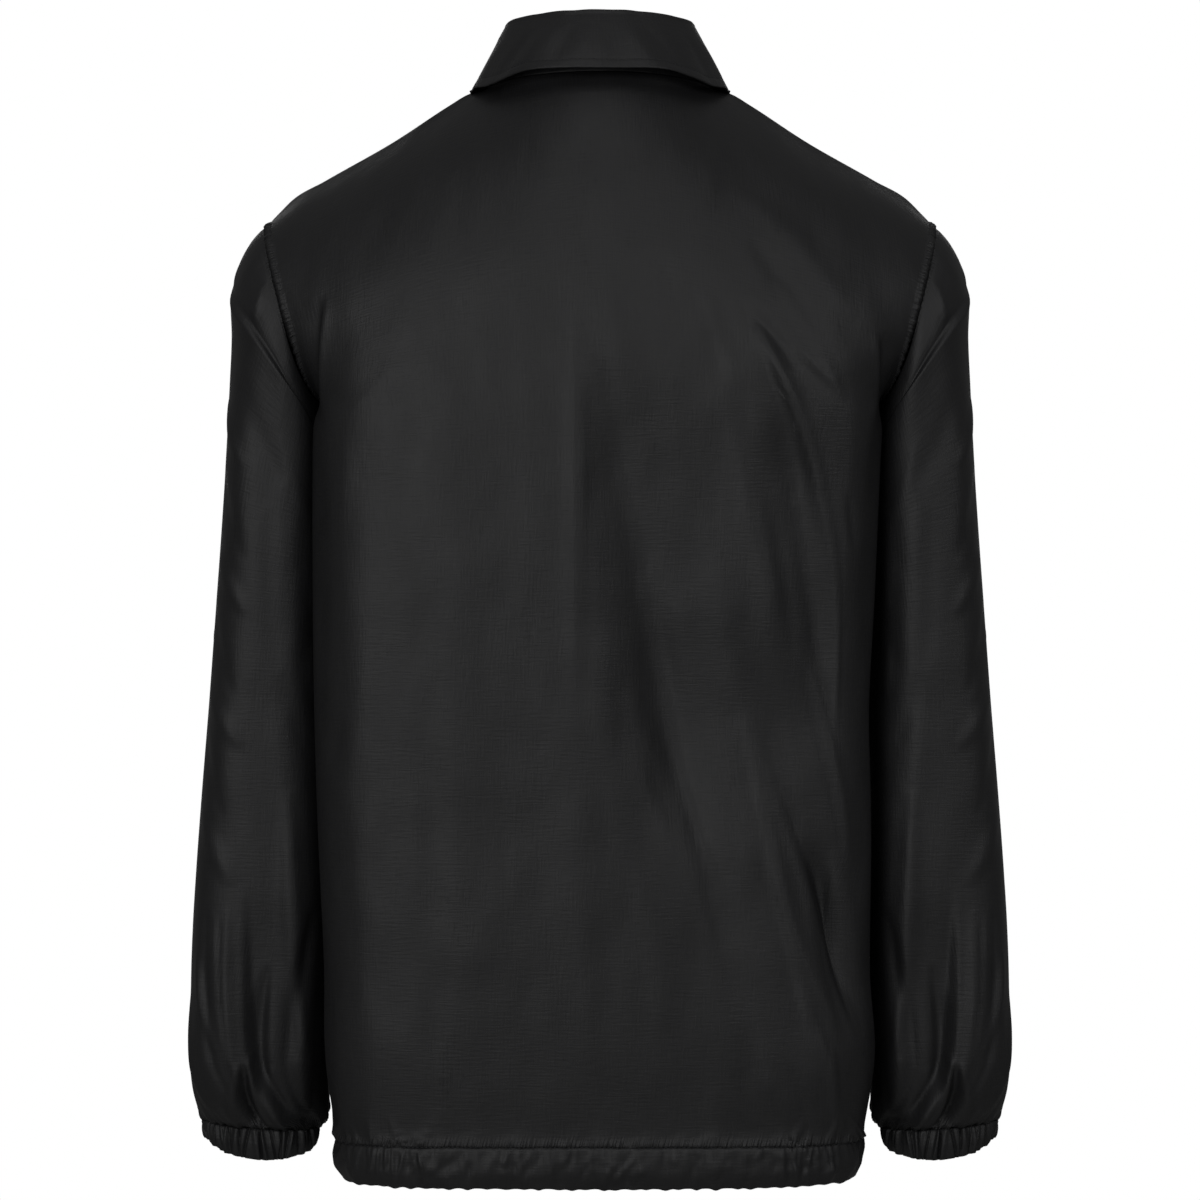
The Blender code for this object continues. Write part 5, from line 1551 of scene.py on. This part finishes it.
def stand_form():
    """The collar stand's outer grid and its ways out: rows run up it from just below the neck seam."""
    fractions = np.linspace(0.0, NECK_SHARE, STAND_COLUMNS + 1)
    back, front = top_row("back", fractions), top_row("front", fractions)
    half = np.concatenate([back, front[-2::-1]])
    turn = np.arcsin(np.clip(half[:, 0] / NECK_HALF_WIDTH, 0.0, 1.0))
    turn[STAND_COLUMNS:] = math.pi - turn[STAND_COLUMNS:]
    seam = np.concatenate([half[::-1] * np.array([-1.0, 1.0, 1.0]), half[1:]])
    turn = np.concatenate([-turn[::-1], turn[1:]])
    seam[:, 2] += SEAM_GAP / 2
    fold, out, _ = fold_line(turn)
    shares = np.linspace(-STAND_LAP, 1.0, STAND_STEPS)
    stand = np.array([seam + share * (fold - seam) for share in shares])[:, STAND_ENDS]
    normals = np.broadcast_to(out[STAND_ENDS], stand.shape)
    height = seam_valley(row_distance(stand, "first"))
    return stand + height[..., None] * normals, normals


class WINDBREAKER_OT_collar(bpy.types.Operator):
    """Build the collar's stand and its turned-down leaf"""

    bl_idname = "windbreaker.collar"
    bl_label = "Collar"

    def execute(self, context):
        stand, ways_out = stand_form()
        mesh = shell_mesh("stand", stand, ways_out, STAND_WALL, grid_uv(stand))
        piece = new_object("collar_stand_cloth", mesh, cloth())
        dress(piece, ["collar_stand"])
        leaf, leaf_normals = leaf_form()
        rings = rounded_section(leaf, leaf_normals, LEAF_WALL)
        mesh = section_mesh("leaf", rings, section_uv(rings, False))
        piece = new_object("collar_leaf_cloth", mesh, cloth())
        dress(piece, ["collar_leaf"])
        return {"FINISHED"}


# The placket's columns, the middle one of them, how far it stands off the fronts and from the top of
# their edge, and how high its face lies over its under side
PLACKET_COLUMNS = 25
PLACKET_CENTRE = 12
PLACKET_OFFSET = 0.0009
PLACKET_START = 0.0012
PLACKET_EDGE = 0.0004
PLACKET_ROUNDING = 0.0011
PLACKET_FACE = 0.0014


@functools.lru_cache(maxsize=None)
def placket_form():
    """The placket's under face on the fronts: rows run down it; and the way out at each point."""
    _, (front, _) = body_faces()
    middle = NECK_COLUMNS + SHOULDER_COLUMNS
    near = slice(middle - 14, middle + 15)
    across = np.linspace(-PLACKET_HALF_WIDTH, PLACKET_HALF_WIDTH, PLACKET_COLUMNS)
    strip = np.array([
        np.stack([np.interp(across, row[near, 0], row[near, axis]) for axis in range(3)], axis=1)
        for row in front])
    fall = strip[-1:].copy()
    lower = np.concatenate([fall + np.array([0.0, 0.0, level - HEM_LEVEL])
                            for level in np.linspace(HEM_LEVEL, HEM_BOTTOM, 8)[1:]])
    strip = np.concatenate([strip, lower])
    place = row_distance(strip, "first")[:, PLACKET_CENTRE]
    wanted = np.linspace(PLACKET_START, place[-1], PLACKET_ROWS + 1)
    strip = np.stack([np.stack([np.interp(wanted, place, strip[:, column, axis])
                                for column in range(PLACKET_COLUMNS)], axis=1)
                      for axis in range(3)], axis=-1)
    normals = outward(grid_normals(strip, False), strip, BODY_MIDDLE)
    return strip + PLACKET_OFFSET * normals, normals


class WINDBREAKER_OT_placket(bpy.types.Operator):
    """Build the placket strip"""

    bl_idname = "windbreaker.placket"
    bl_label = "Placket"

    def execute(self, context):
        under, normals = placket_form()
        from_side = np.minimum(edge_distance(under, "first"), edge_distance(under, "last"))
        round_edge = PLACKET_ROUNDING * grown(from_side, 0.0012) ** 0.5
        height = PLACKET_EDGE + round_edge + stitch_valley(from_side, PLACKET_STITCH) * 0.8
        run = row_distance(under, "first")
        for seed, side in ((61, "first"), (62, "last")):
            distance = edge_distance(under, side)
            near = np.exp(-((distance / 0.006) ** 4))
            height += near * gathers(run, distance, seed, 0.01, 0.66, 0.012, 0.0028, 0.00035, 0.01, 0.4)
        outer = under + height[..., None] * normals
        rings = np.concatenate([outer, under[:, ::-4]], axis=1)
        mesh = section_mesh("placket", rings, section_uv(rings, False))
        piece = new_object("placket_cloth", mesh, cloth())
        dress(piece, ["placket"])
        return {"FINISHED"}


def tree_with(name, *inputs):
    """A Geometry Nodes tree with a geometry in and out and named inputs; its group input's sockets."""
    tree = bpy.data.node_groups.new(name, "GeometryNodeTree")
    tree.interface.new_socket("Geometry", in_out="INPUT", socket_type="NodeSocketGeometry")
    for label, kind in inputs:
        tree.interface.new_socket(label, in_out="INPUT", socket_type=kind)
    tree.interface.new_socket("Geometry", in_out="OUTPUT", socket_type="NodeSocketGeometry")
    return tree, tree.nodes.new("NodeGroupInput").outputs, tree.nodes.new("NodeGroupOutput")


def run_tree(piece, tree, values):
    """Set a tree's inputs on a piece by their identifiers, and turn its result into a plain mesh."""
    modifier = piece.modifiers.new("nodes", "NODES")
    modifier.node_group = tree
    for item in tree.interface.items_tree:
        if item.in_out == "INPUT" and item.name in values:
            modifier[item.identifier] = values[item.name]
    bpy.context.view_layer.update()
    evaluated = piece.evaluated_get(bpy.context.evaluated_depsgraph_get())
    mesh = bpy.data.meshes.new_from_object(evaluated)
    piece.modifiers.remove(modifier)
    piece.data = mesh
    return piece


def stitch_tree():
    """Stitches along the edges of a mesh: short round lengths of thread, one pitch apart."""
    tree, given, result = tree_with("stitches", ("Pitch", "NodeSocketFloat"), ("Length", "NodeSocketFloat"),
                                    ("Radius", "NodeSocketFloat"), ("Thread", "NodeSocketMaterial"))
    lines = node(tree, "GeometryNodeMeshToCurve", i0=given["Geometry"])
    spaced = node(tree, "GeometryNodeResampleCurve", {"mode": "LENGTH"}, Curve=lines.outputs[0],
                  Length=given["Pitch"])
    tangent = node(tree, "GeometryNodeInputTangent")
    turned = node(tree, "FunctionNodeAlignRotationToVector", {"axis": "Z"}, Vector=tangent.outputs[0])
    half = maths(tree, "MULTIPLY", given["Length"], 0.5)
    size = node(tree, "ShaderNodeCombineXYZ", X=given["Radius"], Y=given["Radius"], Z=half)
    stitch = node(tree, "GeometryNodeMeshUVSphere", Segments=6, Rings=4, Radius=1.0)
    smooth = node(tree, "GeometryNodeSetShadeSmooth", Geometry=stitch.outputs[0])
    placed = node(tree, "GeometryNodeInstanceOnPoints", Points=spaced.outputs[0],
                  Instance=smooth.outputs[0], Rotation=turned.outputs[0], Scale=size.outputs[0])
    real = node(tree, "GeometryNodeRealizeInstances", Geometry=placed.outputs[0])
    finished = node(tree, "GeometryNodeSetMaterial", Geometry=real.outputs[0], Material=given["Thread"])
    tree.links.new(finished.outputs[0], result.inputs[0])
    return tree


def line_mesh(name, lines):
    """One mesh whose edges are the given lines, one after the other."""
    points, edges = [], []
    for line in lines:
        start = len(points)
        points.extend(np.asarray(line).tolist())
        edges.extend((start + step, start + step + 1) for step in range(len(line) - 1))
    mesh = bpy.data.meshes.new(name)
    mesh.from_pydata(points, edges, [])
    return mesh


def line_at(grid, normals, distance, place, lift):
    """For each row of a grid, the point at a distance from one of its sides, lifted off the cloth."""
    points = []
    for row, way, far in zip(grid, normals, distance):
        order = np.argsort(far)
        point = [np.interp(place, far[order], row[order, axis]) for axis in range(3)]
        out = [np.interp(place, far[order], way[order, axis]) for axis in range(3)]
        points.append(np.array(point) + lift * np.array(out))
    return np.array(points)


def seam_lines():
    """Every row of topstitching, by the part of the jacket that it is sewn on."""
    lift = settings().thread_radius * 0.4
    beside_armhole = slice(4, ARMHOLE_ROWS - 2)
    body, placket, collar = [], [], []
    for grid, normals in body_faces():
        part, ways = grid[beside_armhole], normals[beside_armhole]
        for edge in ("first", "last"):
            distance = edge_distance(grid, edge)[beside_armhole]
            body.append(line_at(part, ways, distance, ARMHOLE_STITCH, lift))
        body.append((grid[-1] + normals[-1] * (lift + 0.0001))[1:-1])
    under, normals = placket_form()
    for edge in ("first", "last"):
        distance = edge_distance(under, edge)
        placket.append(line_at(under, normals, distance, PLACKET_STITCH, lift + PLACKET_FACE))
    leaf, leaf_normals = leaf_form()
    turned = np.swapaxes(leaf, 0, 1)
    ways = np.swapaxes(leaf_normals, 0, 1)
    distance = edge_distance(turned, "last")
    collar.append(line_at(turned, ways, distance, COLLAR_STITCH, lift)[3:-3])
    return {"stitches_body": body, "stitches_placket": placket, "stitches_collar": collar}


class WINDBREAKER_OT_stitching(bpy.types.Operator):
    """Sew the rows of topstitching"""

    bl_idname = "windbreaker.stitching"
    bl_label = "Stitching"

    def execute(self, context):
        chosen = settings()
        tree = stitch_tree()
        thread = finish_named("spun_polyester_thread", thread_finish, chosen.thread_hex)
        for name, lines in seam_lines().items():
            piece = bpy.data.objects.new(name, line_mesh(name, lines))
            bpy.context.scene.collection.objects.link(piece)
            run_tree(piece, tree, {"Pitch": chosen.stitch_pitch, "Length": chosen.stitch_length,
                                   "Radius": chosen.thread_radius, "Thread": thread})
            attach(piece, BODY)
        return {"FINISHED"}


# A snap cap's outline, as radius and height above its seat; its sides, and how far its seat lies over
# the placket's under side
SNAP_OUTLINE = table(
    "radius height",
    (0.0074, 0.0000),
    (0.0075, 0.0003),
    (0.0075, 0.0008),
    (0.0072, 0.0012),
    (0.0066, 0.0014),
    (0.0061, 0.0013),
    (0.0058, 0.0011),
    (0.0055, 0.0013),
    (0.0046, 0.0018),
    (0.0034, 0.0021),
    (0.0018, 0.0023),
    (0.0000, 0.00235),
)
SNAP_SIDES = 40
SNAP_SEAT = 0.0016


def snap_mesh():
    """One cap, turned about Z."""
    points, faces = [], []
    rims = list(zip(*SNAP_OUTLINE.values()))[:-1]
    for radius, height in rims:
        for side in range(SNAP_SIDES):
            angle = 2 * math.pi * side / SNAP_SIDES
            points.append((radius * math.cos(angle), radius * math.sin(angle), height))
    for ring in range(len(rims) - 1):
        for side in range(SNAP_SIDES):
            a = ring * SNAP_SIDES + side
            b = ring * SNAP_SIDES + (side + 1) % SNAP_SIDES
            faces.append((a, b, b + SNAP_SIDES, a + SNAP_SIDES))
    crown = len(points)
    points.append((0.0, 0.0, SNAP_OUTLINE["height"][-1]))
    top = (len(rims) - 1) * SNAP_SIDES
    faces += [(top + side, top + (side + 1) % SNAP_SIDES, crown) for side in range(SNAP_SIDES)]
    faces.append(tuple(range(SNAP_SIDES))[::-1])
    mesh = bpy.data.meshes.new("snap_cap")
    mesh.from_pydata(points, [], faces)
    turn_outward(mesh)
    mesh.shade_smooth()
    return mesh


def snap_tree():
    """A cap on each point of a mesh, turned to the point's own way out."""
    tree, given, result = tree_with("snaps", ("Cap", "NodeSocketObject"), ("Plastic", "NodeSocketMaterial"))
    cap = node(tree, "GeometryNodeObjectInfo", i0=given["Cap"])
    way = node(tree, "GeometryNodeInputNamedAttribute", {"data_type": "FLOAT_VECTOR"}, Name="way_out")
    turned = node(tree, "FunctionNodeAlignRotationToVector", {"axis": "Z"}, Vector=way.outputs[0])
    placed = node(tree, "GeometryNodeInstanceOnPoints", Points=given["Geometry"],
                  Instance=cap.outputs["Geometry"], Rotation=turned.outputs[0])
    real = node(tree, "GeometryNodeRealizeInstances", Geometry=placed.outputs[0])
    finished = node(tree, "GeometryNodeSetMaterial", Geometry=real.outputs[0], Material=given["Plastic"])
    tree.links.new(finished.outputs[0], result.inputs[0])
    return tree


class WINDBREAKER_OT_snaps(bpy.types.Operator):
    """Set the five snap caps on the placket"""

    bl_idname = "windbreaker.snaps"
    bl_label = "Snaps"

    def execute(self, context):
        under, normals = placket_form()
        ways = normals[:, PLACKET_CENTRE]
        middle = under[:, PLACKET_CENTRE] + SNAP_SEAT * ways
        order = np.argsort(middle[:, 2])
        seats = [[np.interp(level, middle[order, 2], middle[order, axis]) for axis in range(3)]
                 for level in SNAP_LEVELS]
        facing = [[np.interp(level, middle[order, 2], ways[order, axis]) for axis in range(3)]
                  for level in SNAP_LEVELS]
        mesh = bpy.data.meshes.new("snaps")
        mesh.from_pydata(seats, [], [])
        attribute = mesh.attributes.new("way_out", "FLOAT_VECTOR", "POINT")
        attribute.data.foreach_set("vector", np.array(facing, dtype=np.float32).ravel())
        piece = bpy.data.objects.new("snap_caps", mesh)
        bpy.context.scene.collection.objects.link(piece)
        cap = bpy.data.objects.new("cap_to_copy", snap_mesh())
        bpy.context.scene.collection.objects.link(cap)
        plastic = finish_named("moulded_acetal", moulded_acetal, settings().snap_hex)
        run_tree(piece, snap_tree(), {"Cap": cap, "Plastic": plastic})
        bpy.data.objects.remove(cap)
        dress(piece, ["snap_" + str(number) for number in range(1, 6)])
        return {"FINISHED"}


# The photo's camera: square to the back, level with the middle of the jacket
CAMERA_DISTANCE = 3.2
FRAME_WIDTH = 0.828
CAMERA_LEVEL = -0.352
SENSOR = 36.0
LIT_PLACE = (0.0, 0.0, -0.36)


def area_light(name, place, size, power):
    """A rectangular softbox, turned to the middle of the jacket."""
    light = bpy.data.lights.new(name, "AREA")
    light.shape = "RECTANGLE"
    light.size, light.size_y = size
    light.energy = power
    lamp = bpy.data.objects.new(name, light)
    lamp.location = place
    lamp.rotation_euler = (Vector(LIT_PLACE) - Vector(place)).to_track_quat("-Z", "Y").to_euler()
    bpy.context.scene.collection.objects.link(lamp)


# Softboxes: the key and the fill near the camera, so that what turns away from it darkens, one over
# the jacket and two at its hidden front
LIGHTS = (
    ("key", (1.15, 2.87, 0.05), (1.5, 1.9), 21.0),
    ("fill", (-1.5, 2.7, 0.6), (1.6, 0.9), 13.0),
    ("top", (0.0, 1.3, 2.2), (1.6, 1.6), 7.0),
    ("front_left", (0.5, -3.3, 0.2), (1.2, 2.0), 10.0),
    ("front_right", (-0.5, -3.3, 0.1), (1.2, 2.0), 7.0),
)
WORLD_STRENGTH = 0.13
FLOOR_RADIUS = 5.2
FLOOR_SIDES = 96


def set_camera(scene):
    """The photo's camera, square to the back."""
    camera = bpy.data.cameras.new("camera")
    camera.sensor_width = SENSOR
    camera.lens = SENSOR * CAMERA_DISTANCE / FRAME_WIDTH
    camera.dof.use_dof = False
    eye = bpy.data.objects.new("camera", camera)
    eye.location = (0.0, CAMERA_DISTANCE, CAMERA_LEVEL)
    eye.rotation_euler = (math.pi / 2, 0.0, math.pi)
    scene.collection.objects.link(eye)
    scene.camera = eye
    scene.view_settings.view_transform = "Standard"


def set_world(scene):
    """A white ground for the camera, and a dim even light for the jacket."""
    world = bpy.data.worlds.new("studio")
    world.use_nodes = True
    scene.world = world
    tree = world.node_tree
    seen = tree.nodes["Background"]
    seen.inputs["Color"].default_value = (1.0, 1.0, 1.0, 1.0)
    lit = node(tree, "ShaderNodeBackground", Color=(1.0, 1.0, 1.0, 1.0), Strength=WORLD_STRENGTH)
    path = node(tree, "ShaderNodeLightPath")
    both = node(tree, "ShaderNodeMixShader", i0=path.outputs["Is Camera Ray"], i1=lit.outputs[0],
                i2=seen.outputs[0])
    tree.links.new(both.outputs[0], tree.nodes["World Output"].inputs["Surface"])


def lay_floor(scene):
    """A round pale floor below the hanging jacket."""
    turns = [2 * math.pi * side / FLOOR_SIDES for side in range(FLOOR_SIDES)]
    ring = [(FLOOR_RADIUS * math.cos(turn), FLOOR_RADIUS * math.sin(turn), -settings().floor_drop)
            for turn in turns]
    mesh = bpy.data.meshes.new("floor")
    mesh.from_pydata(ring, [], [tuple(range(FLOOR_SIDES))])
    floor = bpy.data.objects.new("floor", mesh)
    scene.collection.objects.link(floor)
    mesh.materials.append(floor_paint("matt_white_floor_paint"))


class WINDBREAKER_OT_stage(bpy.types.Operator):
    """Set the floor, the lights and the camera"""

    bl_idname = "windbreaker.stage"
    bl_label = "Stage"

    def execute(self, context):
        set_camera(context.scene)
        for name, place, size, power in LIGHTS:
            area_light(name, place, size, power)
        set_world(context.scene)
        lay_floor(context.scene)
        return {"FINISHED"}


OPERATORS = (
    WINDBREAKER_OT_body,
    WINDBREAKER_OT_sleeves,
    WINDBREAKER_OT_cuffs,
    WINDBREAKER_OT_hem,
    WINDBREAKER_OT_collar,
    WINDBREAKER_OT_placket,
    WINDBREAKER_OT_snaps,
    WINDBREAKER_OT_stitching,
    WINDBREAKER_OT_stage,
)


class WINDBREAKER_PT_panel(bpy.types.Panel):
    """Lists the pieces of the windbreaker"""

    bl_idname = "WINDBREAKER_PT_panel"
    bl_label = "Windbreaker"
    bl_space_type = "VIEW_3D"
    bl_region_type = "UI"
    bl_category = "Windbreaker"

    def draw(self, context):
        for name in WindbreakerSettings.__annotations__:
            self.layout.prop(context.scene.windbreaker, name)
        for operator in OPERATORS:
            self.layout.operator(operator.bl_idname)


CLASSES = (WindbreakerSettings, *OPERATORS, WINDBREAKER_PT_panel)


def register():
    for item in CLASSES:
        bpy.utils.register_class(item)
    bpy.types.Scene.windbreaker = bpy.props.PointerProperty(type=WindbreakerSettings)


def unregister():
    del bpy.types.Scene.windbreaker
    for item in reversed(CLASSES):
        bpy.utils.unregister_class(item)


def main():
    register()
    for operator in OPERATORS:
        group, name = operator.bl_idname.split(".")
        getattr(getattr(bpy.ops, group), name)()


if __name__ == "__main__":
    main()
